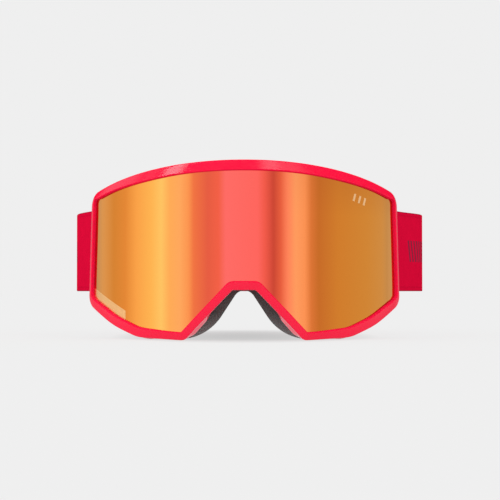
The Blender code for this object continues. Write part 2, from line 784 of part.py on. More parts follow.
def strap_end_points():
    """Centre line of the right end's webbing: splice, round the outrigger's bar, back inside, round the slider."""
    heading = STRAP_HEADING
    points = list(reversed(strap_samples(0.0, STRAP_SPLICE)))
    for k in range(1, TURN_STEPS):
        angle = -heading - math.pi * k / TURN_STEPS
        points.append(
            (BAR_X + STRAP_WRAP_RADIUS * math.cos(angle), BAR_DEPTH + STRAP_WRAP_RADIUS * math.sin(angle))
        )
    settle = STRAP_SIDE_LENGTH
    end = slider_place() + SLIDER_INNER_BAR_WIDTH / 2
    steps = round(end / END_STEP)
    for k in range(steps + 1):
        along = end * k / steps
        wide = 2 * STRAP_WRAP_RADIUS
        inset = wide + (STRAP_LAYER_STEP - wide) * smooth_step(along / settle)
        points.append(strap_point(along, -inset))
    turn_radius = slider_return_radius()
    along_x, along_y = math.sin(-STRAP_TURN), math.cos(-STRAP_TURN)
    out_x, out_y = math.cos(-STRAP_TURN), -math.sin(-STRAP_TURN)
    centre = strap_point(end, -STRAP_LAYER_STEP - turn_radius)
    for k in range(1, TURN_STEPS + 1):
        angle = math.pi / 2 - math.pi * k / TURN_STEPS
        ahead, outward = turn_radius * math.cos(angle), turn_radius * math.sin(angle)
        x = centre[0] + along_x * ahead + out_x * outward
        points.append((x, centre[1] + along_y * ahead + out_y * outward))
    points.append(strap_point(slider_place() - STRAP_TAIL, -STRAP_LAYER_STEP - 2 * turn_radius))
    return points


def slider_return_radius():
    """Radius of the webbing's centre line round the slider's inner bar."""
    return (STRAP_THICKNESS + SLIDER_BAR_THICKNESS) / 2 + SLIDER_WRAP_SLACK


def build_slider(name, side, finish):
    """Two bars outside the strap, one inside it that holds the sewn end, and a plate at each end."""
    centre = slider_place()

    def block(block_name, along, outward, z, helper=True):
        outline = []
        for a, o in ((along[0], outward[0]), (along[1], outward[0]), (along[1], outward[1]), (along[0], outward[1])):
            base = strap_point(centre)
            x = base[0] + math.sin(-STRAP_TURN) * a + math.cos(-STRAP_TURN) * o
            depth = base[1] + math.cos(-STRAP_TURN) * a - math.sin(-STRAP_TURN) * o
            outline.append((side * x, depth))
        return prism(block_name, outline, z[0], z[1], finish, helper=helper)

    outer_low = STRAP_THICKNESS / 2 + SLIDER_CLEARANCE
    outer_high = outer_low + SLIDER_BAR_THICKNESS
    inner_middle = -STRAP_LAYER_STEP - slider_return_radius()
    inner_low, inner_high = inner_middle - SLIDER_BAR_THICKNESS / 2, inner_middle + SLIDER_BAR_THICKNESS / 2
    low = (STRAP_LOW_Z - SLIDER_CAP_GAP - SLIDER_CAP, STRAP_LOW_Z - SLIDER_CAP_GAP)
    high = (STRAP_HIGH_Z + SLIDER_CAP_GAP, STRAP_HIGH_Z + SLIDER_CAP_GAP + SLIDER_CAP)
    between = (low[1] - 0.5 * SLIDER_CAP, high[0] + 0.5 * SLIDER_CAP)
    half = SLIDER_HALF_LENGTH
    overlap = SLIDER_OVERLAP
    outer = (outer_low, outer_high - overlap)
    inner = (inner_low + overlap, inner_high)
    inner_half = SLIDER_INNER_BAR_WIDTH / 2
    slider = block(name, (-half, half), (inner_low, outer_high), low, helper=False)
    pieces = [
        block(f"{name}_cap", (-half, half), (inner_low, outer_high), high),
        block(f"{name}_front_bar", (-half + overlap, -half + SLIDER_BAR_WIDTH), outer, between),
        block(f"{name}_back_bar", (half - SLIDER_BAR_WIDTH, half - overlap), outer, between),
        block(f"{name}_inner_bar", (-inner_half, inner_half), inner, between),
    ]
    for piece in pieces:
        add_boolean(slider, piece, "UNION")
    x, depth = strap_point(centre)
    place_origin(slider, plan(side * x, depth, STRAP_MIDDLE_Z))
    return slider


def build_strap(webbing, silicone):
    right = strap_samples(STRAP_SPLICE + FIT_GAP, strap_length(), step=BAND_STEP)
    left = [(-x, depth) for x, depth in right]
    ribbon("rear_strap", left[:-1] + list(reversed(right)), webbing)
    for name, side in (("left_strap_end", -1), ("right_strap_end", 1)):
        ribbon(name, mirrored(strap_end_points(), side), webbing)

    inset = -(STRAP_THICKNESS + BEAD_THICKNESS) / 2 - FIT_GAP
    right = strap_samples(strap_length() - BEAD_HALF_SPAN, strap_length(), inset, step=BEAD_STEP)
    line = [(-x, depth) for x, depth in right][:-1] + list(reversed(right))
    for name, row in (("lower_grip_bead", -1), ("middle_grip_bead", 0), ("upper_grip_bead", 1)):
        z = STRAP_MIDDLE_Z + row * BEAD_SPACING
        ribbon(name, line, silicone, BEAD_THICKNESS, z - BEAD_HEIGHT / 2, z + BEAD_HEIGHT / 2)


def clear_scene():
    for obj in list(bpy.data.objects):
        bpy.data.objects.remove(obj)


def main():
    clear_scene()
    red = material("frame_red", (0.93, 0.02, 0.06), 0.25)
    mirror = material("lens_mirror", (0.93, 0.33, 0.12), 0.05, 1.0)
    tint = material("inner_lens_tint", (0.75, 0.42, 0.30), 0.1)
    black_foam = material("gasket_foam", (0.02, 0.02, 0.02), 0.9)
    grey_foam = material("face_foam", (0.07, 0.075, 0.075), 0.95)
    fleece = material("fleece", (0.03, 0.03, 0.032), 1.0)
    webbing = material("strap_webbing", (0.66, 0.006, 0.035), 0.8)
    steel = material("hinge_steel", (0.6, 0.6, 0.6), 0.3, 1.0)
    hardware = material("strap_hardware", (0.03, 0.03, 0.03), 0.45)
    silicone = material("grip_silicone", (0.08, 0.08, 0.085), 0.4)

    ring("front_frame", rim_section, red)
    build_face_frame(red)
    lens_plate("outer_lens", 0.0, OUTER_LENS_THICKNESS, mirror)
    lens_plate("inner_lens", INNER_LENS_FRONT, INNER_LENS_BACK, tint)
    ring("lens_gasket", gasket_section, black_foam)

    filter_strip("top_vent_filter", -TOP_STEPS + 2, TOP_STEPS - 2, black_foam)
    filter_strip("right_low_vent_filter", LOW_FIRST, LOW_LAST, black_foam)
    filter_strip("left_low_vent_filter", -LOW_LAST, -LOW_FIRST, black_foam)

    foam_layers = (
        ("base_foam", BASE_BACK, BASE_FRONT, 0.0, FOAM_WIDTH, 0.3 * MM, 0.3 * MM, grey_foam),
        ("comfort_foam", COMFORT_BACK, COMFORT_FRONT, 0.0, FOAM_WIDTH, 0.8 * MM, 2.0 * MM, grey_foam),
        ("fleece_lining", FLEECE_BACK, FLEECE_FRONT, 1.2 * MM, FLEECE_INNER, 0.5 * MM, 0.5 * MM, fleece),
    )
    for name, back, front, outer, inner, outer_round, inner_round, finish in foam_layers:
        ring(name, foam_section(back, front, outer, inner, outer_round, inner_round), finish)

    for name, side in (("left", -1), ("right", 1)):
        build_outrigger(f"{name}_outrigger", side, hardware)
        build_pin(f"{name}_hinge_pin", side, steel)
        build_slider(f"{name}_slider", side, hardware)
    build_strap(webbing, silicone)


main()
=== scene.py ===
"""Looks for the ski goggles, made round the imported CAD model.

The CAD's outlines are repeated here at a finer step. The smooth shells, lenses, foam and woven strap are made
from them, and then the floor, the studio light and the camera.
"""

import math

import bmesh
import bpy
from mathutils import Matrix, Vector


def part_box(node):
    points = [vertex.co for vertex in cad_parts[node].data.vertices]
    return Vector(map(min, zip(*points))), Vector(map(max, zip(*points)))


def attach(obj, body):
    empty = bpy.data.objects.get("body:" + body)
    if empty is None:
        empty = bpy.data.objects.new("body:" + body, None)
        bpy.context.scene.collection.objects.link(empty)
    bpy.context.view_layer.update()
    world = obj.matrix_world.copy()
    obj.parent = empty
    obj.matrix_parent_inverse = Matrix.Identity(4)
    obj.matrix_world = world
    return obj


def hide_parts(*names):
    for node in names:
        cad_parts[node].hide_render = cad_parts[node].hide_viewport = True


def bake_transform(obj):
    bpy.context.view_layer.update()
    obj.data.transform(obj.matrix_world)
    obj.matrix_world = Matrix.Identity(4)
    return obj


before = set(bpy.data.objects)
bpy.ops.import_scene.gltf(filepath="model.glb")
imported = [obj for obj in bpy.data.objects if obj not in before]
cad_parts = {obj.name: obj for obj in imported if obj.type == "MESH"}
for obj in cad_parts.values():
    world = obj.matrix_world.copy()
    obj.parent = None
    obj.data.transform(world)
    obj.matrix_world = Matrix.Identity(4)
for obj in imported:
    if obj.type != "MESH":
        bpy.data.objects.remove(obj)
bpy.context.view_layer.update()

MM = 0.001
LENS_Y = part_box("outer_lens")[0].y  # the lens's foremost line
LENS_RADIUS = 108 * MM
LENS_CENTRE_Y = LENS_Y + LENS_RADIUS
FACE_RADIUS = 105 * MM  # of the skin side, seen from above
BROW_DEPTH, NOSE_DEPTH = 43 * MM, 36 * MM  # how far the skin side lies behind the lens at x = 0
BROW_Z, NOSE_BRIDGE_Z = 75 * MM, 27 * MM  # heights between which that depth eases from one to the other
STRAP_LOW_Z, STRAP_HIGH_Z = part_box("rear_strap")[0].z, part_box("rear_strap")[1].z
STRAP_THICKNESS = 1.4 * MM
SHARP_ANGLE = 35  # degrees between faces, above which an edge stays sharp

# Shapes as in the CAD -----------------------------------------------------------------------------


def half_outline(start, corners, end, finer):
    """Stations along the right half of a rounded outline, as (u, z, inward u, inward z)."""
    points = [start] + [corner[:2] for corner in corners] + [end]
    stations = []
    last = Vector(start)
    for i, (u, z, radius, arc_steps, line_steps) in enumerate(corners):
        arc_steps, line_steps = arc_steps * finer, line_steps * finer
        corner = Vector((u, z))
        before = (corner - Vector(points[i])).normalized()
        after = (Vector(points[i + 2]) - corner).normalized()
        turn = before.angle_signed(after)
        reach = radius * math.tan(abs(turn) / 2)
        arc_start = corner - before * reach
        inward = Vector((before.y, -before.x))
        for step in range(line_steps):
            if step or not stations:
                on_line = last.lerp(arc_start, step / line_steps)
                stations.append((on_line.x, on_line.y, inward.x, inward.y))
        centre = arc_start + inward * math.copysign(radius, turn)
        for step in range(arc_steps + 1):
            angle = math.atan2(inward.y, inward.x) - turn * step / arc_steps
            normal = Vector((math.cos(angle), math.sin(angle)))
            point = centre - normal * math.copysign(radius, turn)
            stations.append((point.x, point.y, normal.x, normal.y))
        last = corner + after * reach
    stations[0] = (*start, 0.0, -1.0)
    for step in range(1, finer + 1):
        on_line = last.lerp(Vector(end), step / finer)
        stations.append((on_line.x, on_line.y, 0.0, 1.0))
    return stations


def whole(half):
    """Both halves of an outline, from its right half."""
    left = [(-u, z, -nu, nz) for u, z, nu, nz in reversed(half[1:-1])]
    return half + left


FINER = 4  # stations here for each of the CAD's

# Corners of the outlines, from the top centre down the right side: u, z and radius in millimetres, and how
# many steps the CAD has in the corner and on the line that leads to it
FRONT_TOP, FRONT_NOSE = 98.1, 27.3
FRONT_CORNERS = [
    (46.2, 98.1, 285.0, 12, 0),
    (99.05, 80.8, 9.5, 5, 1),
    (102.0, 19.6, 8.0, 4, 4),
    (79.8, 7.8, 80.0, 2, 2),
    (61.8, 1.4, 25.0, 2, 2),
    (32.9, -0.08, 4.5, 4, 3),
    (6.3, 27.3, 1.5, 3, 6),
]
REAR_TOP, REAR_NOSE = 95.0, 27.0
REAR_CORNERS = [
    (34.0, 95.0, 300.0, 12, 0),
    (79.0, 84.7, 15.0, 5, 1),
    (79.0, 15.0, 16.0, 5, 4),
    (58.0, 0.0, 18.0, 3, 4),
    (21.0, 0.0, 28.0, 4, 3),
    (3.3, 27.0, 6.1, 3, 6),
]


def outline(top, corners, bottom):
    """A whole outline's stations, in metres."""
    scaled = [(u * MM, z * MM, r * MM, a, b) for u, z, r, a, b in corners]
    return whole(half_outline((0, top * MM), scaled, (0, bottom * MM), FINER))


FRONT = outline(FRONT_TOP, FRONT_CORNERS, FRONT_NOSE)
REAR = outline(REAR_TOP, REAR_CORNERS, REAR_NOSE)
COUNT = len(FRONT)
assert COUNT == len(REAR)  # the two outlines are joined station by station
NOSE_FIRST = 34 * FINER  # where the nose arch starts
NOSE_EASE = 4 * FINER
TOP_STEPS = 13 * FINER  # stations from the top centre to the temple
RIM_WIDTHS = [  # (the CAD's station, visible width in millimetres)
    (0, 5.9),
    (6, 5.7),
    (13, 4.4),
    (15.5, 3.1),
    (18.5, 3.8),
    (21, 3.8),
    (24.5, 5.2),
    (28, 5.9),
    (33, 5.7),
    (37, 4.45),
    (41, 4.45),
    (44, 4.6),
    (51, 5.0),
]
TIP_FIRST, TIP_LAST, TIP_INSET = 37, 41, 4.3 * MM  # round a nose tip, where insets are kept small
TIP_EASE = 3


def bend(s, depth, z):
    """The point at `s` along the unrolled lens, `depth` behind its front surface."""
    angle = s / LENS_RADIUS
    radius = LENS_RADIUS - depth
    return Vector((radius * math.sin(angle), LENS_CENTRE_Y - radius * math.cos(angle), z))


def smooth_step(t):
    """Eases from 0 to 1 as t goes from 0 to 1."""
    t = max(0.0, min(1.0, t))
    return t * t * (3 - 2 * t)


def face_point(x, depth, z):
    """The point at x and z, `depth` in front of the skin side."""
    rise = smooth_step((z - NOSE_BRIDGE_Z) / (BROW_Z - NOSE_BRIDGE_Z))
    centre = NOSE_DEPTH + (BROW_DEPTH - NOSE_DEPTH) * rise
    curve = FACE_RADIUS - math.sqrt(FACE_RADIUS**2 - min(abs(x), FACE_RADIUS) ** 2)
    return Vector((x, LENS_Y + centre + curve - depth, z))


def front_at(i, offset, depth):
    """The point `offset` inside the front outline at station i, `depth` behind the lens's front."""
    s, z, inward_s, inward_z = FRONT[i % COUNT]
    return bend(s + inward_s * offset, depth, z + inward_z * offset)


def rear_at(i, offset, depth):
    """The point `offset` inside the rear outline at station i, `depth` in front of the skin side."""
    x, z, inward_x, inward_z = REAR[i % COUNT]
    return face_point(x + inward_x * offset, depth, z + inward_z * offset)


def nearest(i):
    """Stations from the top centre to station i, the shorter way round."""
    return min(i % COUNT, -i % COUNT)


def nose_share(i):
    """1 in the nose arch and 0 elsewhere, with an eased start."""
    return smooth_step((nearest(i) - NOSE_FIRST) / NOSE_EASE)


def rim_width(i):
    """The rim's visible width at station i, easing between the widths given at a few stations."""
    station = nearest(i) / FINER
    for (low, low_width), (high, high_width) in zip(RIM_WIDTHS, RIM_WIDTHS[1:]):
        if station <= high:
            return (low_width + (high_width - low_width) * smooth_step((station - low) / (high - low))) * MM
    return RIM_WIDTHS[-1][1] * MM


# Mesh helpers -------------------------------------------------------------------------------------


def rounded(points, radii, steps=3):
    """A closed 2-D profile with each corner rounded by its own radius, or by one shared radius."""
    if not isinstance(radii, (list, tuple)):
        radii = [radii] * len(points)
    out = []
    for k, point in enumerate(points):
        here = Vector(point)
        before, after = Vector(points[k - 1]) - here, Vector(points[(k + 1) % len(points)]) - here
        reach = min(radii[k], before.length * 0.45, after.length * 0.45)
        if reach <= 0:
            out.append(tuple(here))
            continue
        a, b = here + before.normalized() * reach, here + after.normalized() * reach
        for step in range(steps + 1):
            t = step / steps
            out.append(tuple(a * (1 - t) ** 2 + here * 2 * t * (1 - t) + b * t * t))
    return out


def show(name, mesh, sharp=SHARP_ANGLE):
    """Puts a mesh in the scene, shaded smooth but for edges sharper than `sharp` degrees."""
    mesh.shade_smooth()
    mesh.set_sharp_from_angle(angle=math.radians(sharp))
    obj = bpy.data.objects.new(name, mesh)
    bpy.context.scene.collection.objects.link(obj)
    return obj


def make_object(name, verts, faces, uvs=None, sharp=SHARP_ANGLE):
    """An object from points and faces, with one UV for each point if they are given."""
    mesh = bpy.data.meshes.new(name)
    mesh.from_pydata([tuple(v) for v in verts], [], faces)
    if uvs:
        layer = mesh.uv_layers.new(name="UVMap")
        for loop in mesh.loops:
            layer.data[loop.index].uv = uvs[loop.vertex_index]
    return show(name, mesh, sharp)


def swept(name, rows, closed, sharp=SHARP_ANGLE, uv=False):
    """A solid through rows of section points; a closed one meets its own start, others get end caps.

    Its UV map, if asked for, holds metres along the rows and each point's height.
    """
    count, sides = len(rows), len(rows[0])
    verts = [point for row in rows for point in row]
    faces = []
    for i in range(count if closed else count - 1):
        for j in range(sides):
            k, n = (j + 1) % sides, (i + 1) % count
            faces.append((i * sides + j, i * sides + k, n * sides + k, n * sides + j))
    if not closed:
        faces.append(tuple(range(sides)))
        faces.append(tuple(reversed(range((count - 1) * sides, count * sides))))
    uvs = None
    if uv:
        uvs, along = [], 0.0
        for i, row in enumerate(rows):
            if i:
                middle = sum(row, Vector()) / sides
                last = sum(rows[i - 1], Vector()) / sides
                along += (middle - last).length
            uvs += [(along, point.z) for point in row]
    obj = make_object(name, verts, faces, uvs, sharp)
    outward(obj)
    return obj


def outward(obj):
    """Turns all faces outward."""
    bm = bmesh.new()
    bm.from_mesh(obj.data)
    bmesh.ops.recalc_face_normals(bm, faces=bm.faces)
    bm.to_mesh(obj.data)
    bm.free()


def ring(name, section, sharp=SHARP_ANGLE):
    """A closed ring with section(i) at each station of the outlines."""
    return swept(name, [section(i) for i in range(COUNT)], True, sharp)


def cut(target, tool, operation="DIFFERENCE"):
    """Applies a Boolean at once and removes the tool."""
    modifier = target.modifiers.new("cut", "BOOLEAN")
    modifier.object, modifier.operation, modifier.solver = tool, operation, "EXACT"
    graph = bpy.context.evaluated_depsgraph_get()
    mesh = bpy.data.meshes.new_from_object(target.evaluated_get(graph))
    target.modifiers.clear()
    target.data = mesh
    bpy.data.objects.remove(tool)


def dress(obj, finish, body, replaces):
    """Gives a piece its finish, and its body if one is given."""
    obj.data.materials.clear()
    obj.data.materials.append(finish)
    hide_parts(*replaces)
    if body:
        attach(obj, body)
    return obj


# Materials ----------------------------------------------------------------------------------------


class Nodes:
    """Short helpers for a node tree. A value is a number, a colour or another node's output."""

    easing = "LINEAR"

    def __init__(self, tree):
        self.tree = tree

    def link(self, a, b):
        self.tree.links.new(a, b)

    def add(self, kind, inputs, **settings):
        """A new node's outputs, once it has its settings and its inputs by number or name."""
        node = self.tree.nodes.new(f"ShaderNode{kind}")
        for setting, value in settings.items():
            setattr(node, setting, value)
        for socket, value in inputs.items():
            if isinstance(value, bpy.types.NodeSocket):
                self.link(value, node.inputs[socket])
            else:
                node.inputs[socket].default_value = value
        return node.outputs

    def math(self, operation, *values):
        return self.add("Math", dict(enumerate(values)), operation=operation)[0]

    def axes(self, source):
        return self.add("SeparateXYZ", {0: source})

    def remap(self, value, low, high, to_low, to_high):
        inputs = dict(enumerate((value, low, high, to_low, to_high)))
        return self.add("MapRange", inputs, interpolation_type=self.easing)[0]


class Finish(Nodes):
    """A material being built: a Principled shader and the nodes in front of it."""

    def __init__(self, name, roughness=0.5, metallic=0.0):
        self.material = bpy.data.materials.new(name)
        self.material.use_nodes = True
        super().__init__(self.material.node_tree)
        self.shader = self.tree.nodes["Principled BSDF"]
        self.plain("Roughness", roughness)
        self.plain("Metallic", metallic)
        coords = self.add("TexCoord", {})
        self.place, self.uv = coords["Object"], coords["UV"]

    def plain(self, socket, value):
        """Gives the shader a value that is the same all over."""
        self.shader.inputs[socket].default_value = value

    def within(self, value, low, high):
        """1 where low < value < high."""
        above, below = self.math("GREATER_THAN", value, low), self.math("LESS_THAN", value, high)
        return self.math("MULTIPLY", above, below)

    def noise(self, scale, detail=2.0, roughness=0.5, vector=None):
        inputs = {"Scale": scale, "Detail": detail, "Roughness": roughness, "Vector": vector or self.place}
        return self.add("TexNoise", inputs)["Fac"]

    def cells(self, scale):
        return self.add("TexVoronoi", {"Scale": scale, "Vector": self.place})["Distance"]

    def stretched(self, factors):
        return self.add("Mapping", {"Scale": factors, "Vector": self.place})[0]

    def ramp(self, value, stops):
        """A colour ramp through (place, colour) stops."""
        node = self.tree.nodes.new("ShaderNodeValToRGB")
        elements = node.color_ramp.elements
        while len(elements) > 1:
            elements.remove(elements[-1])
        for k, (place, colour) in enumerate(stops):
            element = elements[0] if k == 0 else elements.new(place)
            element.position = place
            element.color = (*colour, 1)
        self.link(value, node.inputs[0])
        return node.outputs[0]

    def mix(self, share, a, b):
        a, b = [(*colour, 1) if isinstance(colour, tuple) else colour for colour in (a, b)]
        return self.add("Mix", {0: share, 6: a, 7: b}, data_type="RGBA")[2]

    def bump(self, height, strength, distance, onto=None):
        inputs = {"Strength": strength, "Distance": distance, "Height": height}
        if onto:
            inputs["Normal"] = onto
        return self.add("Bump", inputs)[0]

    def colour(self, value):
        self.link(value, self.shader.inputs["Base Color"])

    def roughness(self, value):
        self.link(value, self.shader.inputs["Roughness"])

    def normal(self, value):
        self.link(value, self.shader.inputs["Normal"])


def moulded_red(name, colour, deep, roughness, gloss):
    """Injection-moulded red plastic: faint flow shade, fine texture and a few rubbed spots."""
    f = Finish(name, roughness)
    f.plain("Specular IOR Level", gloss)
    f.colour(f.mix(f.remap(f.noise(28, 3), 0.35, 0.7, 0.0, 1.0), colour, deep))
    f.roughness(f.remap(f.noise(420, 3, 0.6), 0.3, 0.75, roughness * 0.8, roughness * 1.35))
    orange_peel = f.bump(f.noise(900, 1), 0.06, 0.0002)
    f.normal(f.bump(f.noise(5200, 2), 0.05, 0.00005, orange_peel))
    return f.material


CORAL, ROSE = (1.0, 0.150, 0.132), (1.0, 0.134, 0.112)
TINT_REACH = 100  # millimetres along the lens's curve, to either side of its middle
# The coating's colour along the lens, with painted reflections: its bright and dark bands stand in for studio
# strips reflected in the mirror
LENS_TINTS_AND_PAINTED_REFLECTIONS = [  # (millimetres along the lens's curve, colour)
    (-98, (0.62, 0.31, 0.115)),
    (-90, (0.74, 0.31, 0.075)),
    (-80, (0.68, 0.225, 0.030)),
    (-71, (0.78, 0.245, 0.036)),
    (-63, (0.96, 0.36, 0.064)),
    (-53, (1.0, 0.46, 0.085)),
    (-47, (1.0, 0.55, 0.125)),
    (-42, (1.0, 0.41, 0.095)),
    (-36, (1.0, 0.39, 0.110)),
    (-31, (0.98, 0.30, 0.080)),
    (-28, (0.88, 0.175, 0.056)),
    (-20, (0.80, 0.110, 0.055)),
    (-14, (0.90, 0.118, 0.062)),
    (-10, CORAL),
    (7.5, ROSE),
    (11.2, (0.90, 0.105, 0.070)),
    (16.2, (0.60, 0.062, 0.034)),
    (20.2, (0.80, 0.112, 0.048)),
    (24, (1.0, 0.225, 0.100)),
    (28.6, (1.0, 0.330, 0.114)),
    (33.8, (0.98, 0.290, 0.088)),
    (37.6, (0.72, 0.178, 0.037)),
    (42, (0.58, 0.150, 0.022)),
    (54, (0.64, 0.205, 0.026)),
    (74, (0.64, 0.235, 0.034)),
    (86, (0.63, 0.255, 0.048)),
    (91, (0.60, 0.262, 0.062)),
    (97, (0.76, 0.350, 0.110)),
]
# Printed marks, in millimetres along the lens's curve and in height
DASH_MIDDLE_S, DASH_MIDDLE_Z, DASH_SLOPE, DASH_LEAN = 68, 77.6, 0.30, -0.30
DASH_FIRST_S, DASH_PITCH, DASH_RUN, DASH_SHARE, DASH_HALF_HEIGHT = 64.2, 3.6, 9.6, 0.36, 2.2
PALE_BAND_FIRST_S, PALE_BAND_LAST_S = -110, -70.8
PALE_BAND_END_Z, PALE_BAND_SLOPE = 15.9, -0.484


def lens_mirror():
    """A mirror coating, coral in the middle and amber at the sides, with painted reflections of studio strips
    as bright and dark bands, a painted shadow under the brow at the upper right, and the printed marks.
    """
    f = Finish("lens_mirror", 0.07, 1.0)
    x, y, z = f.axes(f.place)
    angle = f.math("ARCTAN2", x, f.math("SUBTRACT", LENS_CENTRE_Y, y))
    s = f.math("MULTIPLY", angle, LENS_RADIUS / MM)
    z = f.math("MULTIPLY", z, 1 / MM)
    place = f.remap(s, -TINT_REACH, TINT_REACH, 0, 1)
    wander = f.math("MULTIPLY_ADD", f.math("SUBTRACT", f.noise(9, 1), 0.5), 0.012, place)
    # The coating's tint, with painted reflections of studio strips in its bands
    tint = f.ramp(wander, [((at + TINT_REACH) / (2 * TINT_REACH), colour) for at, colour in LENS_TINTS_AND_PAINTED_REFLECTIONS])
    # Painted shadow under the brow: the lens's colour darkens towards its top on the right
    shade = f.math("MULTIPLY", f.remap(z, 68, 95, 0.0, 1.0), f.remap(s, 20, 60, 0.0, 0.34))
    tint = f.mix(shade, tint, (0.38, 0.085, 0.020))
    # Three slim slanted dashes at the upper right, stepping down along the brow
    above = f.math("SUBTRACT", z, DASH_MIDDLE_Z)
    slope = f.math("MULTIPLY_ADD", f.math("SUBTRACT", s, DASH_MIDDLE_S), DASH_SLOPE, above)
    lean = f.math("SUBTRACT", f.math("MULTIPLY_ADD", slope, DASH_LEAN, s), DASH_FIRST_S)
    beat = f.math("FRACT", f.math("DIVIDE", lean, DASH_PITCH))
    dashes = f.math("MULTIPLY", f.within(lean, 0, DASH_RUN), f.math("LESS_THAN", beat, DASH_SHARE))
    dashes = f.math("MULTIPLY", dashes, f.within(slope, -DASH_HALF_HEIGHT, DASH_HALF_HEIGHT))
    # A pale band along the lower left edge
    past = f.math("SUBTRACT", s, PALE_BAND_LAST_S)
    band_top = f.math("MULTIPLY_ADD", past, PALE_BAND_SLOPE, PALE_BAND_END_Z)
    band = f.within(s, PALE_BAND_FIRST_S, PALE_BAND_LAST_S)
    band = f.math("MULTIPLY", f.math("LESS_THAN", z, band_top), band)
    printed = f.mix(band, tint, f.mix(0.6, tint, (1.0, 0.66, 0.32)))
    printed = f.mix(dashes, printed, (1.0, 0.60, 0.30))
    f.colour(printed)
    film = f.noise(60, 4, 0.6)
    plain = f.remap(film, 0.3, 0.8, 0.05, 0.10)
    matt = f.math("MAXIMUM", f.math("MULTIPLY", band, 0.30), f.math("MULTIPLY", dashes, 0.35))
    f.roughness(f.math("MAXIMUM", plain, matt))
    f.normal(f.bump(f.noise(14, 1), 0.02, 0.0006))
    return f.material


# Webbing, in millimetres
RIB_PITCH, WALE_PITCH, TWILL_PITCH, TWILL_LEAN = 1.1, 0.9, 2.2, 0.6
EDGE_THREAD, BOUND_EDGE, GROOVE_FROM, GROOVE_TO = 0.5, 2.2, 2.0, 2.7
PRINT_LOW, PRINT_HIGH, PRINT_MIDDLE = 44.2, 56.8, 50.5
PRINT_PITCH, PRINT_LEAN = 4.6, -0.28


def webbing(name, print_span=None, side=1):
    """Woven elastic: ribs across, wales along, a bound edge, and slim dark bars where it is printed."""
    f = Finish(name, 0.8)
    u, v, _ = f.axes(f.uv)
    u, v = f.math("MULTIPLY", u, 1 / MM), f.math("MULTIPLY", v, 1 / MM)
    rib = f.math("SINE", f.math("MULTIPLY", u, 2 * math.pi / RIB_PITCH))
    wale = f.math("SINE", f.math("MULTIPLY", v, 2 * math.pi / WALE_PITCH))
    slanted = f.math("ADD", u, f.math("MULTIPLY", v, TWILL_LEAN))
    twill = f.math("SINE", f.math("MULTIPLY", slanted, 2 * math.pi / TWILL_PITCH))
    twill = f.math("MULTIPLY_ADD", twill, 0.12, 0.5)
    cloth = f.math("MULTIPLY_ADD", f.math("MULTIPLY", rib, wale), 0.35, twill)
    low, high = STRAP_LOW_Z / MM, STRAP_HIGH_Z / MM
    rim = f.math("MINIMUM", f.math("SUBTRACT", v, low), f.math("SUBTRACT", high, v))
    bound = f.math("LESS_THAN", rim, BOUND_EDGE)
    groove = f.within(rim, GROOVE_FROM, GROOVE_TO)
    thread = f.math("LESS_THAN", rim, EDGE_THREAD)
    red = f.mix(cloth, (0.57, 0.0028, 0.030), (0.86, 0.0044, 0.048))
    red = f.mix(f.remap(f.noise(160, 3), 0.3, 0.75, 0.0, 0.3), red, (0.55, 0.003, 0.029))
    red = f.mix(f.math("MULTIPLY", bound, 0.2), red, (0.59, 0.003, 0.033))
    red = f.mix(f.math("MULTIPLY", groove, 0.15), red, (0.28, 0.003, 0.017))
    red = f.mix(f.math("MULTIPLY", thread, 0.6), red, (0.13, 0.003, 0.030))
    if print_span:
        first, last = print_span
        lean = f.math("MULTIPLY_ADD", f.math("SUBTRACT", v, PRINT_MIDDLE), PRINT_LEAN * side, u)
        beat = f.math("FRACT", f.math("DIVIDE", lean, PRINT_PITCH))
        bars = f.math("MULTIPLY", f.within(beat, 0.1, 0.6), f.within(v, PRINT_LOW, PRINT_HIGH))
        bars = f.math("MULTIPLY", bars, f.within(lean, first, last))
        red = f.mix(f.math("MULTIPLY", bars, 0.85), red, (0.17, 0.022, 0.052))
    f.colour(red)
    f.roughness(f.remap(cloth, 0.0, 1.0, 0.88, 0.68))
    height = f.math("SUBTRACT", cloth, f.math("MULTIPLY", groove, 0.7))
    f.normal(f.bump(height, 0.55, 0.00025))
    f.plain("Specular IOR Level", 0.0)
    return f.material


def foam(name, colour, light, pore, depth, painted_floor_light=0.0):
    """Open-cell foam: small pores over a slow shade, and painted light that makes it paler by up to
    `painted_floor_light` near the floor.
    """
    f = Finish(name, 0.95)
    pores = f.cells(1 / pore)
    fine = f.cells(2.3 / pore)
    tone = f.mix(f.remap(pores, 0.05, 0.55, 0.0, 1.0), colour, light)
    tone = f.mix(f.remap(f.noise(70, 3), 0.35, 0.7, 0.0, 0.4), tone, colour)
    _, _, height = f.axes(f.place)
    # Painted light: paler towards the floor, where the lower foam catches light
    tone = f.mix(f.remap(height, 0.002, 0.015, painted_floor_light, 0.0), tone, (0.29, 0.38, 0.37))
    f.colour(tone)
    height = f.math("MULTIPLY_ADD", fine, 0.5, pores)
    f.normal(f.bump(height, 0.7, depth))
    f.roughness(f.remap(fine, 0.0, 0.5, 0.98, 0.86))
    f.plain("Specular IOR Level", 0.15)
    return f.material


def fleece_finish():
    """Brushed fleece: a fine pile in larger tufts."""
    f = Finish("fleece", 1.0)
    pile = f.noise(1500, 4, 0.7)
    tufts = f.noise(260, 3, 0.6)
    light = f.math("MULTIPLY_ADD", pile, 0.6, f.math("MULTIPLY", tufts, 0.5))
    f.colour(f.mix(light, (0.008, 0.008, 0.009), (0.075, 0.075, 0.08)))
    f.normal(f.bump(f.math("ADD", pile, tufts), 0.9, 0.0006))
    f.plain("Sheen Weight", 0.5)
    f.plain("Sheen Roughness", 0.5)
    f.roughness(f.remap(tufts, 0.3, 0.7, 0.92, 1.0))
    return f.material


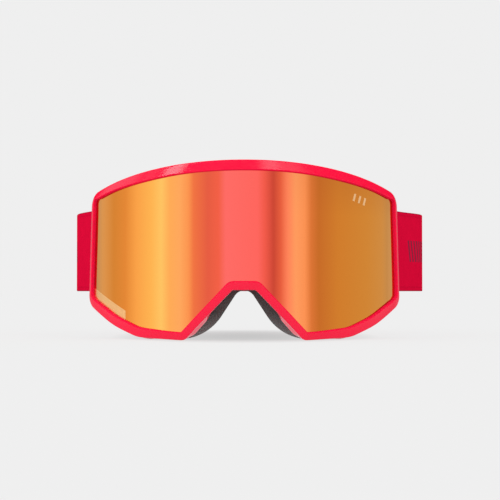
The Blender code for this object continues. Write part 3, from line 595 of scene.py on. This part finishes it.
def black_plastic():
    """Satin black moulding with a fine grain."""
    f = Finish("black_plastic", 0.42)
    grain = f.cells(1500)
    f.colour(f.mix(f.remap(f.noise(90, 3), 0.3, 0.7, 0.0, 1.0), (0.018, 0.018, 0.020), (0.030, 0.030, 0.033)))
    f.roughness(f.remap(f.noise(500, 3), 0.3, 0.75, 0.36, 0.55))
    f.normal(f.bump(grain, 0.25, 0.0001))
    return f.material


def steel():
    """Drawn steel, streaked along the pin."""
    f = Finish("pin_steel", 0.3, 1.0)
    streak = f.noise(600, 2, 0.5, f.stretched((1, 1, 0.05)))
    f.colour(f.mix(streak, (0.46, 0.46, 0.47), (0.66, 0.66, 0.67)))
    f.roughness(f.remap(streak, 0.3, 0.7, 0.24, 0.4))
    return f.material


def silicone():
    """Dark grey grip silicone, slightly uneven."""
    f = Finish("grip_silicone", 0.38)
    f.colour(f.mix(f.noise(300, 3), (0.035, 0.035, 0.038), (0.075, 0.075, 0.08)))
    f.normal(f.bump(f.noise(700, 2), 0.2, 0.0002))
    f.roughness(f.remap(f.noise(240, 2), 0.3, 0.7, 0.3, 0.5))
    return f.material


def clear_tint():
    """The inner lens: a thin sheet of clear plastic with a warm tint."""
    f = Finish("inner_lens_sheet", 0.06)
    f.plain("Alpha", 0.45)
    f.colour(f.mix(f.remap(f.noise(12, 2), 0.3, 0.7, 0.0, 1.0), (0.42, 0.20, 0.13), (0.48, 0.25, 0.16)))
    f.roughness(f.remap(f.noise(90, 3), 0.3, 0.75, 0.04, 0.09))
    return f.material


# Pieces -------------------------------------------------------------------------------------------

# Front frame, as in the CAD: widths inward from its outline, and heights before or behind the lens's front
RIM_SLIT = 0.3 * MM  # between the front frame and the lens's edge
RIM_SIDE_BACK, RIM_SIDE_PROUD = 1.3 * MM, 0.65 * MM
RIM_SHOULDER_INSET, RIM_SHOULDER_PROUD = 0.4 * MM, 1.05 * MM
RIM_CREST_INSET, RIM_CREST_PROUD = 0.7 * MM, 1.95 * MM
RIM_LIP_INSET, RIM_LIP_PROUD = 0.2 * MM, 1.75 * MM
RIM_CLEARANCE = 0.06 * MM  # between the rim's lip and the lens
RIM_BACK = 6.0 * MM
RIM_WALL, NOSE_WALL, NOSE_FLARE = 1.7 * MM, 1.2 * MM, 1.8 * MM
FLARE_TOP_Z, FLARE_FULL_Z, FLARE_END_Z = 17 * MM, 10 * MM, 4 * MM
RIM_EDGE_SIDES = range(13, 21)  # sides of the rim's section that face the lens

# Lenses and gasket, as depths behind the lens's front
LENS_OFFSET = 2.6 * MM  # from the front outline to the lens's edge
LENS_THICKNESS = 2.2 * MM
INNER_LENS_FRONT, INNER_LENS_BACK = 5.0 * MM, 6.0 * MM
LENS_COLUMN = 2 * MM  # width of the lens's columns of faces
GASKET_INSET, GASKET_WIDTH = 0.4 * MM, 4.8 * MM
GASKET_FRONT, GASKET_BACK = LENS_THICKNESS + 0.3 * MM, 4.7 * MM
FOAM_ROUND = 0.5 * MM

# Face frame, with the flange's depths in front of the skin side
SHELF_OUTER, SHELF_WIDTH = 0.9 * MM, 6.8 * MM
SHELF_FRONT, SHELF_BACK = 6.3 * MM, 8.0 * MM
WALL = 1.8 * MM
FLANGE_WIDTH = 12.5 * MM
FLANGE_FRONT, FLANGE_BACK = 18.9 * MM, 17.1 * MM
NOSE_FLANGE_SETBACK = 6.3 * MM
FACE_FRAME_ROUND = 0.4 * MM

# Vents and the filter foam behind them
TOP_VENTS, TOP_VENT_SPACING, TOP_VENT_LENGTH, TOP_VENT_SLOT = 7, 16.5 * MM, 12 * MM, 5.5 * MM
LOW_VENT_CENTRES, LOW_VENT_LENGTH, LOW_VENT_SLOT = (38 * MM, 52 * MM), 10 * MM, 4.5 * MM
LOW_SEARCH_FIRST, LOW_SEARCH_LAST = 27 * FINER, 41 * FINER  # stations that hold the low vents
VENT_ROUND = 1.6 * MM
FILTER_GAP, FILTER_THICKNESS, FILTER_MARGIN = 0.7 * MM, 2.0 * MM, 0.2
FILTERS = (("top", -11, 11), ("right_low", 31, 37), ("left_low", -37, -31))  # from and to the CAD's stations

# Hinge lugs
PIN_X, PIN_Y = 84 * MM, LENS_Y + 55 * MM
LUG_HEIGHTS = ((28.5 * MM, 34.2 * MM), (65.8 * MM, 71.5 * MM))
LUG_ROOT_X, LUG_ROOT_BACK, LUG_ROOT_FRONT = 78.2 * MM, 0.8 * MM, 4.4 * MM  # back and front are before the pin
BARREL_RADIUS, PIN_HOLE_RADIUS = 2.6 * MM, 1.5 * MM
PIN_HOLE_LOW_Z, PIN_HOLE_HIGH_Z = 20 * MM, 80 * MM

# Foam layers, as depths in front of the skin side
FOAM_WIDTH = 13.5 * MM
BASE_BACK, BASE_FRONT, BASE_CROWN = 9.8 * MM, 16.8 * MM, 0.4 * MM
COMFORT_BACK, COMFORT_FRONT, COMFORT_CROWN = 1.4 * MM, 9.5 * MM, 2.0 * MM
FLEECE_BACK, FLEECE_FRONT, FLEECE_CROWN = 0.0, 1.3 * MM, 0.7 * MM
FOAM_INSET, FLEECE_INSET = 0.1 * MM, 1.2 * MM
CROWN_STEPS, CROWN_FULLNESS, SIDE_PINCH = 9, 0.6, 0.25 * MM


def rim_wall(i):
    """The wall's thickness at its back edge: thin over the nose, flared along the nose arch's lower half."""
    z = FRONT[i % COUNT][1]
    flared = smooth_step((FLARE_TOP_Z - z) / (FLARE_TOP_Z - FLARE_FULL_Z)) * smooth_step(z / FLARE_END_Z)
    return RIM_WALL + nose_share(i) * (NOSE_WALL - RIM_WALL + NOSE_FLARE * flared)


def rim_section(i):
    """The front frame: a crested lip over the lens's edge, and a wall round the lenses."""
    width = rim_width(i)
    wall_out = LENS_OFFSET - RIM_SLIT
    corners = [  # inset, depth and radius
        (0.0, RIM_SIDE_BACK, 1.0 * MM),
        (0.0, -RIM_SIDE_PROUD, 0.2 * MM),
        (RIM_SHOULDER_INSET, -RIM_SHOULDER_PROUD, 0.25 * MM),
        (width - RIM_CREST_INSET, -RIM_CREST_PROUD, 0.3 * MM),
        (width - RIM_LIP_INSET, -RIM_LIP_PROUD, 0.25 * MM),
        (width, -RIM_CLEARANCE, 0),
        (wall_out, -RIM_CLEARANCE, 0),
        (wall_out, RIM_BACK, 0.2 * MM),
        (wall_out - rim_wall(i), RIM_BACK, 0.5 * MM),
    ]
    profile = rounded([corner[:2] for corner in corners], [corner[2] for corner in corners])
    return [front_at(i, offset, depth) for offset, depth in profile]


def tip_inset(i, inset):
    """The inset, or less of it near a nose tip, at station i."""
    station = nearest(i) / FINER
    away = max(TIP_FIRST - station, station - TIP_LAST, 0)
    return TIP_INSET + (inset - TIP_INSET) * smooth_step(away / TIP_EASE)


def gasket_section(i):
    """The soft spacer between the lenses, with its edges slightly pressed."""
    outer = LENS_OFFSET + GASKET_INSET
    inner = tip_inset(i, outer + GASKET_WIDTH)
    profile = [(outer, GASKET_FRONT), (inner, GASKET_FRONT), (inner, GASKET_BACK), (outer, GASKET_BACK)]
    return [front_at(i, offset, depth) for offset, depth in rounded(profile, FOAM_ROUND)]


def filter_strip(name, first, last):
    """A strip of filter foam inside the face frame's wall, between two of the CAD's stations."""
    rows = []
    for i in range(first * FINER, last * FINER + 1):
        front, rear = wall_at(i, 0.0, WALL), wall_at(i, 1.0, WALL)
        shelf_end = front_at(i, SHELF_WIDTH, SHELF_BACK)
        flange_end = rear_at(i, FLANGE_WIDTH, FLANGE_FRONT)
        inside = shelf_end.lerp(flange_end, 0.5) - front.lerp(rear, 0.5)
        inward = (inside - inside.project(rear - front)).normalized()
        near, far = inward * FILTER_GAP, inward * (FILTER_GAP + FILTER_THICKNESS)
        low, high = front.lerp(rear, FILTER_MARGIN), front.lerp(rear, 1 - FILTER_MARGIN)
        rows.append(round_3d([low + near, high + near, high + far, low + far], FOAM_ROUND))
    return swept(name, rows, False)


def face_frame_section(i):
    """A shelf behind the lenses, the vented wall, and the flange that carries the foam."""
    setback = NOSE_FLANGE_SETBACK * nose_share(i)
    shelf_in = tip_inset(i, SHELF_WIDTH)
    points = [
        front_at(i, SHELF_OUTER, SHELF_FRONT),
        rear_at(i, setback, FLANGE_FRONT),
        rear_at(i, setback, FLANGE_BACK),
        rear_at(i, FLANGE_WIDTH, FLANGE_BACK),
        rear_at(i, FLANGE_WIDTH, FLANGE_FRONT),
        rear_at(i, setback + WALL, FLANGE_FRONT),
        front_at(i, SHELF_OUTER + WALL, SHELF_BACK),
        front_at(i, shelf_in, SHELF_BACK),
        front_at(i, shelf_in, SHELF_FRONT),
    ]
    return round_3d(points, FACE_FRAME_ROUND)


def round_3d(points, radius):
    """Like rounded(), for a closed loop of points in space."""
    out = []
    for k, here in enumerate(points):
        before, after = points[k - 1] - here, points[(k + 1) % len(points)] - here
        reach = min(radius, before.length * 0.3, after.length * 0.3)
        a, b = here + before.normalized() * reach, here + after.normalized() * reach
        for t in (0.0, 0.5, 1.0):
            out.append(a * (1 - t) ** 2 + here * 2 * t * (1 - t) + b * t * t)
    return out


def wall_at(i, share, inward):
    """A point of the wall, `inward` from its outer face: share 0 is at the shelf and 1 at the flange."""
    setback = NOSE_FLANGE_SETBACK * nose_share(i)
    front = front_at(i, SHELF_OUTER + inward, SHELF_BACK)
    rear = rear_at(i, setback + inward, FLANGE_FRONT)
    return front.lerp(rear, share)


def vent_tool(x, first, last, length, slot):
    """A round-ended block through the face frame's wall at the given x, between two stations."""
    for i in range(first, last):
        low, high = wall_at(i, 0.5, 0).x, wall_at(i + 1, 0.5, 0).x
        if min(low, high) <= x <= max(low, high) and low != high:
            break
    share = (x - low) / (high - low)
    centre = wall_at(i, 0.5, WALL / 2).lerp(wall_at(i + 1, 0.5, WALL / 2), share)
    along = (wall_at(i + 2, 0.5, 0) - wall_at(i - 2, 0.5, 0)).normalized()
    backward = (wall_at(i, 1.0, 0) - wall_at(i, 0.0, 0)).normalized()
    through = along.cross(backward).normalized()
    backward = through.cross(along).normalized()
    half, tall = length / 2, slot / 2
    profile = rounded([(-half, -tall), (half, -tall), (half, tall), (-half, tall)], VENT_ROUND, 5)
    rows = []
    for end in (-1, 1):
        rows.append([centre + along * a + backward * b + through * end * 3 * WALL for a, b in profile])
    return swept("vent_tool", rows, False)


def block(outline_points, low, high):
    """An upright block from (x, y) corners."""
    return swept("tool", [[Vector((x, y, z)) for x, y in outline_points] for z in (low, high)], False)


def disc(centre, radius, low, high, sides=32):
    """An upright round block."""
    angles = [2 * math.pi * k / sides for k in range(sides)]
    points = [(centre[0] + radius * math.cos(a), centre[1] + radius * math.sin(a)) for a in angles]
    return block(points, low, high)


def lug_outline():
    """One hinge lug from above, on the right: its root in the wall and the round barrel about the pin."""
    points = [(LUG_ROOT_X, PIN_Y - LUG_ROOT_BACK), (LUG_ROOT_X, PIN_Y - LUG_ROOT_FRONT)]
    for k in range(17):
        angle = -math.pi / 2 + math.pi * k / 16
        points.append((PIN_X + BARREL_RADIUS * math.cos(angle), PIN_Y + BARREL_RADIUS * math.sin(angle)))
    return points


def split_many_sided(obj):
    """Splits the many-sided faces that cuts leave into well-shaped triangles."""
    bm = bmesh.new()
    bm.from_mesh(obj.data)
    many_sided = [face for face in bm.faces if len(face.verts) > 4]
    bmesh.ops.triangulate(bm, faces=many_sided, ngon_method="BEAUTY")
    bm.to_mesh(obj.data)
    bm.free()


def build_face_frame(finish):
    """The inner moulding, with its vents cut out and its hinge lugs added and drilled."""
    obj = ring("face_moulding", face_frame_section)
    for k in range(TOP_VENTS):
        x = (k - TOP_VENTS // 2) * TOP_VENT_SPACING
        cut(obj, vent_tool(x, -TOP_STEPS, TOP_STEPS, TOP_VENT_LENGTH, TOP_VENT_SLOT))
    for side in (-1, 1):
        first, last = sorted((side * LOW_SEARCH_FIRST, side * LOW_SEARCH_LAST))
        for x in LOW_VENT_CENTRES:
            cut(obj, vent_tool(side * x, first, last, LOW_VENT_LENGTH, LOW_VENT_SLOT))
        for low, high in LUG_HEIGHTS:
            cut(obj, block([(side * x, y) for x, y in lug_outline()], low, high), "UNION")
        cut(obj, disc((side * PIN_X, PIN_Y), PIN_HOLE_RADIUS, PIN_HOLE_LOW_Z, PIN_HOLE_HIGH_Z))
    split_many_sided(obj)
    obj.data.shade_smooth()
    obj.data.set_sharp_from_angle(angle=math.radians(SHARP_ANGLE))
    return dress(obj, finish, "frame", ["face_frame"])


def lens_sheet(name, depth_front, depth_back):
    """A sheet cut to the lens's outline, with straight vertical columns, bent round the lens's axis."""
    bm = bmesh.new()
    loop = [bm.verts.new((s + ns * LENS_OFFSET, 0, z + nz * LENS_OFFSET)) for s, z, ns, nz in FRONT]
    bm.faces.new(loop)
    columns = int(max(v.co.x for v in loop) / LENS_COLUMN)
    for k in range(-columns, columns + 1):
        everything = list(bm.verts) + list(bm.edges) + list(bm.faces)
        place = (k * LENS_COLUMN, 0, 0)
        bmesh.ops.bisect_plane(bm, geom=everything, dist=1e-6, plane_co=place, plane_no=(1, 0, 0))
    bmesh.ops.dissolve_degenerate(bm, dist=1e-5, edges=bm.edges)
    out = bmesh.ops.extrude_face_region(bm, geom=list(bm.faces))
    for item in out["geom"]:
        if isinstance(item, bmesh.types.BMVert):
            item.co.y = depth_back - depth_front
    for vert in bm.verts:
        vert.co = bend(vert.co.x, depth_front + vert.co.y, vert.co.z)
    bmesh.ops.recalc_face_normals(bm, faces=bm.faces)
    mesh = bpy.data.meshes.new(name)
    bm.to_mesh(mesh)
    bm.free()
    return show(name, mesh)


def foam_ring(name, back, front, inset, crown):
    """A foam layer with slightly pinched sides and a crowned skin side."""
    outer, inner = inset, FOAM_WIDTH - inset
    middle = (front + back + crown) / 2
    profile = [(outer, front), (outer + SIDE_PINCH, middle), (outer, back + crown)]
    for k in range(1, CROWN_STEPS):
        t = k / CROWN_STEPS
        lift = math.sin(math.pi * t) ** CROWN_FULLNESS
        profile.append((outer + (inner - outer) * t, back + crown * (1 - lift)))
    profile += [(inner, back + crown), (inner, front), (inner - SIDE_PINCH, middle)]
    return ring(name, lambda i: [rear_at(i, offset, depth) for offset, depth in profile], 50)


# Strap path on the right, as in the CAD: x and distance behind the lens's front
HEADING, TURN = math.radians(22), math.radians(50)
BAR = (86 * MM, 68.4 * MM)  # the outrigger's bar, which the strap goes round
WRAP = 2.7 * MM  # radius of the webbing's middle about the bar
WRAP_STEPS, RETURN_STEPS = 16, 12
STRAP_STEP = 2 * MM
SIDE_LENGTH, SIDE_RADIUS, TURN_RADIUS, ZONE = 28 * MM, 90 * MM, 60 * MM, 34 * MM
START = (BAR[0] + WRAP * math.cos(HEADING), BAR[1] - WRAP * math.sin(HEADING))
REAR_RADIUS = (
    START[0]
    + SIDE_LENGTH * math.sin(HEADING)
    + SIDE_RADIUS * (1 - math.cos(HEADING))
    - TURN_RADIUS * (1 - math.cos(TURN))
    - ZONE * math.sin(TURN)
) / math.cos(TURN)
SECTIONS = [
    (SIDE_LENGTH, None),
    (SIDE_RADIUS * HEADING, SIDE_RADIUS),
    (TURN_RADIUS * TURN, TURN_RADIUS),
    (ZONE, None),
    (REAR_RADIUS * (math.pi / 2 - TURN), REAR_RADIUS),
]
STRAP_LENGTH = sum(length for length, _ in SECTIONS)
SLIDER_AT = sum(length for length, _ in SECTIONS[:3]) + ZONE / 2
LAYER_STEP = 1.9 * MM
BAR_THICKNESS = 1.8 * MM
RETURN_RADIUS = (STRAP_THICKNESS + BAR_THICKNESS) / 2 + 0.25 * MM
SEAM = 102 * MM  # along the inner layer, where the front half meets the half that goes round the slider
TAIL_PAST_SLIDER, TAIL_END = 1.0 * MM, 9 * MM
SWAY, SWAY_FROM, SWAY_TO = 2.95 * MM, 73 * MM, 163 * MM
TAIL_BEND_TO = 121 * MM  # along the strap
FIRST_BARS = (("left", -1, 40), ("right", 1, 18.5))  # side, its sign, and millimetres before the slider
LAST_BAR = 112
BEAD_THICKNESS, BEAD_HALF_WIDTH, BEAD_SPACING, BEAD_HALF_LENGTH = 0.6 * MM, 1 * MM, 11 * MM, 55 * MM
BEAD_CLEARANCE = 0.3 * MM


def strap_point(along, outward=0.0):
    """The point `along` the strap's path from the outrigger, as (x, depth), moved `outward` from the path."""
    x, depth = START
    heading = HEADING
    for length, radius in SECTIONS:
        step = min(along, length)
        if radius is None:
            x += step * math.sin(heading)
            depth += step * math.cos(heading)
        else:
            after = heading - step / radius
            x += radius * (math.cos(after) - math.cos(heading))
            depth += radius * (math.sin(heading) - math.sin(after))
            heading = after
        along -= step
        if along <= 0:
            break
    return x + outward * math.cos(heading), depth - outward * math.sin(heading)


def ribbon(name, points, side, thickness=STRAP_THICKNESS, low=STRAP_LOW_Z, high=STRAP_HIGH_Z, uv=True):
    """Webbing on edge along (x, depth) points, with rounded edges. side -1 mirrors it."""
    half = thickness / 2
    section = rounded([(half, low), (half, high), (-half, high), (-half, low)], thickness * 0.45)
    rows = []
    for i, (x, depth) in enumerate(points):
        before, after = points[max(i - 1, 0)], points[min(i + 1, len(points) - 1)]
        along = Vector((after[0] - before[0], after[1] - before[1])).normalized()
        shift = sway(depth)
        row = [(side * (x + along.y * o) + shift, LENS_Y + depth - along.x * o, z) for o, z in section]
        rows.append([Vector(point) for point in row])
    return swept(name, rows, False, 40, uv)


def steps_between(first, last):
    """Places from first to last, about STRAP_STEP apart."""
    count = max(2, round((last - first) / STRAP_STEP))
    return [first + (last - first) * k / count for k in range(count + 1)]


def return_inset(along):
    """How far inside the outer layer the inner one lies: a loop's width at the bar, easing to one layer."""
    return 2 * WRAP + (LAYER_STEP - 2 * WRAP) * smooth_step(along / SIDE_LENGTH)


def strap_side_points():
    """The side strap's route: from the slider to the bar, round it, and back inside to the seam."""
    points = [strap_point(a) for a in reversed(steps_between(0.0, SLIDER_AT))]
    for k in range(1, WRAP_STEPS):
        angle = -HEADING - math.pi * k / WRAP_STEPS
        points.append((BAR[0] + WRAP * math.cos(angle), BAR[1] + WRAP * math.sin(angle)))
    points += [strap_point(a, -return_inset(a)) for a in steps_between(0.0, SEAM)]
    return points


def strap_tail_points():
    """The tail's route: from the seam to the slider, round its bar, and back to the tail's end."""
    end = SLIDER_AT + TAIL_PAST_SLIDER
    points = [strap_point(a, -LAYER_STEP) for a in steps_between(SEAM, end)]
    along = Vector((math.sin(-TURN), math.cos(-TURN))) * RETURN_RADIUS
    out = Vector((math.cos(-TURN), -math.sin(-TURN))) * RETURN_RADIUS
    centre = Vector(strap_point(end, -LAYER_STEP - RETURN_RADIUS))
    for k in range(1, RETURN_STEPS + 1):
        angle = math.pi / 2 - math.pi * k / RETURN_STEPS
        points.append(tuple(centre + along * math.cos(angle) + out * math.sin(angle)))
    last = Vector(strap_point(SLIDER_AT - TAIL_END, -LAYER_STEP - 2 * RETURN_RADIUS))
    turn_end = Vector(points[-1])
    points += [tuple(turn_end.lerp(last, k / 4)) for k in range(1, 5)]
    return points


def sway(depth):
    """How far the loose strap hangs over to the right, between the outrigger and the slider."""
    share = max(0.0, min(1.0, (depth - SWAY_FROM) / (SWAY_TO - SWAY_FROM)))
    return SWAY * math.sin(math.pi * share) ** 2


def at(along, side):
    """The point `along` the strap on one side, at the floor's height."""
    x, depth = strap_point(along)
    return side * x, LENS_Y + depth, 0.0


def across_back(right_half):
    """A line over both sides of the back, from the right side's points."""
    return [(-x, depth) for x, depth in right_half][:-1] + list(reversed(right_half))


def build_strap(grip):
    """The rear band, both doubled sides, and the grip beads on the band's inner face."""
    rear = across_back([strap_point(a) for a in steps_between(SLIDER_AT, STRAP_LENGTH)])
    dress(ribbon("rear_band", rear, 1), webbing("webbing_rear"), "frame", ["rear_strap"])
    for name, side, first_bar in FIRST_BARS:
        arm, adjuster, ends = f"{name}_arm", f"{name}_adjuster", [f"{name}_strap_end"]
        bars = (SLIDER_AT / MM - LAST_BAR, SLIDER_AT / MM - first_bar)
        outer = ribbon(f"{name}_strap_side", strap_side_points(), side)
        dress(outer, webbing(f"webbing_{name}", bars, side), None, ends)
        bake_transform(outer)
        tail = ribbon(f"{name}_strap_tail", strap_tail_points(), side)
        dress(tail, webbing(f"webbing_tail_{name}"), None, ends)
        at(SEAM, side)
        at(TAIL_BEND_TO, side)
        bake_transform(tail)
    inset = -(STRAP_THICKNESS + BEAD_THICKNESS) / 2 - BEAD_CLEARANCE
    line = [strap_point(a, inset) for a in steps_between(STRAP_LENGTH - BEAD_HALF_LENGTH, STRAP_LENGTH)]
    for name, row in (("lower", -1), ("middle", 0), ("upper", 1)):
        z = (STRAP_LOW_Z + STRAP_HIGH_Z) / 2 + row * BEAD_SPACING
        low, high = z - BEAD_HALF_WIDTH, z + BEAD_HALF_WIDTH
        bead = ribbon(f"{name}_silicone_bead", across_back(line), 1, BEAD_THICKNESS, low, high, False)
        dress(bead, grip, "frame", [f"{name}_grip_bead"])


def soften(node, width, finish):
    """Keeps a CAD node's shape, eases its edges and gives it a finish."""
    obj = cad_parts[node]
    obj.data.materials.clear()
    obj.data.materials.append(finish)
    modifier = obj.modifiers.new("eased_edges", "BEVEL")
    modifier.width, modifier.segments = width, 2
    modifier.limit_method, modifier.angle_limit = "ANGLE", math.radians(30)
    modifier.use_clamp_overlap = True
    normals = obj.modifiers.new("even_shading", "WEIGHTED_NORMAL")
    normals.keep_sharp = True


def matt_inner_edge(rim, finish):
    """Gives the rim's narrow edge against the lens a duller finish, its colour a little darker as painted
    shade.
    """
    rim.data.materials.append(finish)
    sides = len(rim.data.polygons) // COUNT
    for face in rim.data.polygons:
        if face.index % sides in RIM_EDGE_SIDES:
            face.material_index = 1


def build_shells():
    """The front frame, the face frame and both lenses."""
    red = moulded_red("rim_red", (1.0, 0.0034, 0.050), (0.97, 0.0027, 0.045), 0.16, 0.4)
    inner_red = moulded_red("face_frame_red", (0.80, 0.004, 0.040), (0.70, 0.003, 0.034), 0.34, 0.3)
    # A duller copy of the rim's red for its edge against the lens, a little darker as painted shade
    shaded_edge_red = moulded_red("rim_edge_red", (0.95, 0.0034, 0.050), (0.90, 0.0027, 0.045), 0.6, 0.1)
    rim = dress(ring("front_rim", rim_section, 30), red, "frame", ["front_frame"])
    matt_inner_edge(rim, shaded_edge_red)
    build_face_frame(inner_red)
    outer = lens_sheet("mirror_lens", 0.0, LENS_THICKNESS)
    dress(outer, lens_mirror(), "frame", ["outer_lens"])
    inner = lens_sheet("clear_lens", INNER_LENS_FRONT, INNER_LENS_BACK)
    dress(inner, clear_tint(), "frame", ["inner_lens"])


def build_foam():
    """The gasket, the vent filters and the three layers against the face."""
    spacer = foam("gasket_foam", (0.008, 0.008, 0.008), (0.022, 0.022, 0.022), 0.5 * MM, 0.0002)
    dress(ring("spacer_foam", gasket_section), spacer, "frame", ["lens_gasket"])
    open_cell = foam("filter_foam", (0.006, 0.006, 0.006), (0.034, 0.034, 0.034), 1.2 * MM, 0.0006)
    for name, first, last in FILTERS:
        strip = filter_strip(f"{name}_filter_foam", first, last)
        dress(strip, open_cell, "frame", [f"{name}_vent_filter"])

    # The last number of each foam is how much painted light pales it near the floor
    firm = foam("base_foam", (0.088, 0.114, 0.111), (0.135, 0.174, 0.169), 0.7 * MM, 0.0003, 0.8)
    soft = foam("comfort_foam", (0.092, 0.116, 0.113), (0.141, 0.177, 0.172), 0.9 * MM, 0.0004, 0.8)
    base = foam_ring("firm_foam", BASE_BACK, BASE_FRONT, FOAM_INSET, BASE_CROWN)
    dress(base, firm, "frame", ["base_foam"])
    comfort = foam_ring("soft_foam", COMFORT_BACK, COMFORT_FRONT, FOAM_INSET, COMFORT_CROWN)
    dress(comfort, soft, "frame", ["comfort_foam"])
    lining = foam_ring("skin_fleece", FLEECE_BACK, FLEECE_FRONT, FLEECE_INSET, FLEECE_CROWN)
    dress(lining, fleece_finish(), "frame", ["fleece_lining"])


def build_hardware():
    """Finishes for the outriggers, sliders and pins, which keep their CAD shapes."""
    hardware = black_plastic()
    for side in ("left", "right"):
        soften(f"{side}_outrigger", 0.35 * MM, hardware)
        soften(f"{side}_slider", 0.3 * MM, hardware)
        soften(f"{side}_hinge_pin", 0.15 * MM, steel())


# Stage --------------------------------------------------------------------------------------------


BACKDROP = 0.863
FLOOR_ALBEDO, FLOOR_GLOW = 0.08, 0.763
SHADE_LOSS = 0.26  # how much of the floor's glow the painted shadow under the goggles takes away at most
SHADE_DEPTH = 105 * MM  # from the lens to the middle of that shade
SHADE_HALF_WIDTH, SHADE_HALF_DEPTH = 80 * MM, 150 * MM
FLOOR_HALF_SIZE = 6.0
BOX_GAP = 0.03  # how bright the ceiling is between the soft boxes
BOX_LOW, BOX_HIGH, BOX_FADE = 0.22, 0.75, 0.08  # the boxes' lower and upper edge, as a direction's z
SOFT_BOXES = [  # from, to and fade in degrees from straight ahead, and strength
    (-53.5, -44, 3, 7.8),
    (-110, -78, 5, 1.3),
    (-69, -63, 3, 0.9),
    (12, 22, 1.5, 2.2),
    (21, 32, 14, 1.6),
]
CAMERA_PLACE = (0.0032, LENS_Y - 0.897, 0.027)
CAMERA_LENS, CAMERA_SENSOR = 119.3, 36  # millimetres
CAMERA_TILT = math.radians(1.407)  # upward from level


def build_floor():
    """A glowing pale sweep, with a painted shadow: its glow is dimmed a little in an oval under the goggles.
    """
    corners = [(x * FLOOR_HALF_SIZE, y * FLOOR_HALF_SIZE, 0) for x, y in ((-1, -1), (1, -1), (1, 1), (-1, 1))]
    obj = make_object("floor", corners, [(0, 1, 2, 3)])
    f = Finish("pale_floor", 0.9)
    f.plain("Base Color", (FLOOR_ALBEDO, FLOOR_ALBEDO, FLOOR_ALBEDO, 1))
    f.plain("Specular IOR Level", 0.0)
    f.plain("Emission Color", (1, 1, 1, 1))
    x, y, _ = f.axes(f.place)
    # Painted shadow: the glow is dimmed in an oval under the goggles
    across = f.math("POWER", f.math("DIVIDE", x, SHADE_HALF_WIDTH), 2.0)
    behind = f.math("SUBTRACT", y, LENS_Y + SHADE_DEPTH)
    away = f.math("ADD", across, f.math("POWER", f.math("DIVIDE", behind, SHADE_HALF_DEPTH), 2.0))
    f.link(f.remap(away, 0.0, 1.0, FLOOR_GLOW - SHADE_LOSS, FLOOR_GLOW), f.shader.inputs["Emission Strength"])
    obj.data.materials.append(f.material)
    obj.visible_glossy = False


class Studio(Nodes):
    """The studio's world, with a direction's x, y and z."""

    easing = "SMOOTHSTEP"

    def __init__(self):
        world = bpy.data.worlds.new("studio")
        world.use_nodes = True
        bpy.context.scene.world = world
        super().__init__(world.node_tree)
        self.x, self.y, self.z = self.axes(self.add("TexCoord", {})["Generated"])

    def window(self, value, low, high, edge):
        """1 between low and high, fading out over `edge` on both sides."""
        rising, falling = self.remap(value, low - edge, low, 0, 1), self.remap(value, high, high + edge, 1, 0)
        return self.math("MULTIPLY", rising, falling)

    def mix(self, share, a, b):
        return self.add("Mix", {0: share, 2: a, 3: b})[0]


def build_world():
    """A studio: soft light from all round, a little more from the left and above.

    The camera sees a pale backdrop. Gloss sees a bright horizon, a darker ceiling and the soft boxes.
    """
    w = Studio()
    path = w.add("LightPath", {})
    forward = w.math("ADD", w.math("MULTIPLY", w.x, -0.2), w.math("MULTIPLY", w.y, -0.35))
    soft = w.math("MULTIPLY", w.remap(w.z, -0.2, 1.0, 0.88, 1.02), w.math("ADD", forward, 1.0))
    soft = w.math("ADD", soft, w.remap(w.z, 0.78, 0.92, 0.0, 1.0))
    azimuth = w.math("ARCTAN2", w.x, w.math("MULTIPLY", w.y, -1.0))
    high = w.window(w.z, BOX_LOW, BOX_HIGH, BOX_FADE)
    gloss = w.math("MULTIPLY", w.remap(w.z, 0.12, 0.25, 1.0, BOX_GAP), w.remap(w.z, -0.3, -0.12, 0.6, 1.0))
    boxes = 0.0
    for first, last, fade, strength in SOFT_BOXES:
        box = w.window(azimuth, math.radians(first), math.radians(last), math.radians(fade))
        boxes = w.math("ADD", w.math("MULTIPLY", box, strength), boxes)
    gloss = w.math("ADD", gloss, w.math("MULTIPLY", high, boxes))
    underneath = w.math("MULTIPLY", w.remap(w.z, -0.25, -0.05, 1.0, 0.0), w.remap(w.y, 0.4, 0.8, 0.0, 1.0))
    behind = w.remap(w.y, 0.1, 0.6, 1.0, 0.35)
    gloss = w.math("MULTIPLY", gloss, w.math("ADD", behind, underneath))
    seen = w.mix(path["Is Glossy Ray"], soft, gloss)
    seen = w.mix(path["Is Camera Ray"], seen, BACKDROP)
    background = w.tree.nodes["Background"]
    w.link(seen, background.inputs["Strength"])
    background.inputs["Color"].default_value = (1, 1, 1, 1)


def build_camera():
    """A long lens level with the strap's lower edge, tilted up a little."""
    data = bpy.data.cameras.new("camera")
    data.lens, data.sensor_width = CAMERA_LENS, CAMERA_SENSOR
    data.clip_start, data.clip_end = 0.05, 50
    camera = bpy.data.objects.new("camera", data)
    camera.location = CAMERA_PLACE
    camera.rotation_euler = (math.radians(90) + CAMERA_TILT, 0, 0)
    bpy.context.scene.collection.objects.link(camera)
    bpy.context.scene.camera = camera


build_camera()
build_shells()
build_foam()
build_hardware()
build_strap(silicone())
build_floor()
build_world()
bpy.context.scene.view_settings.view_transform = "Standard"
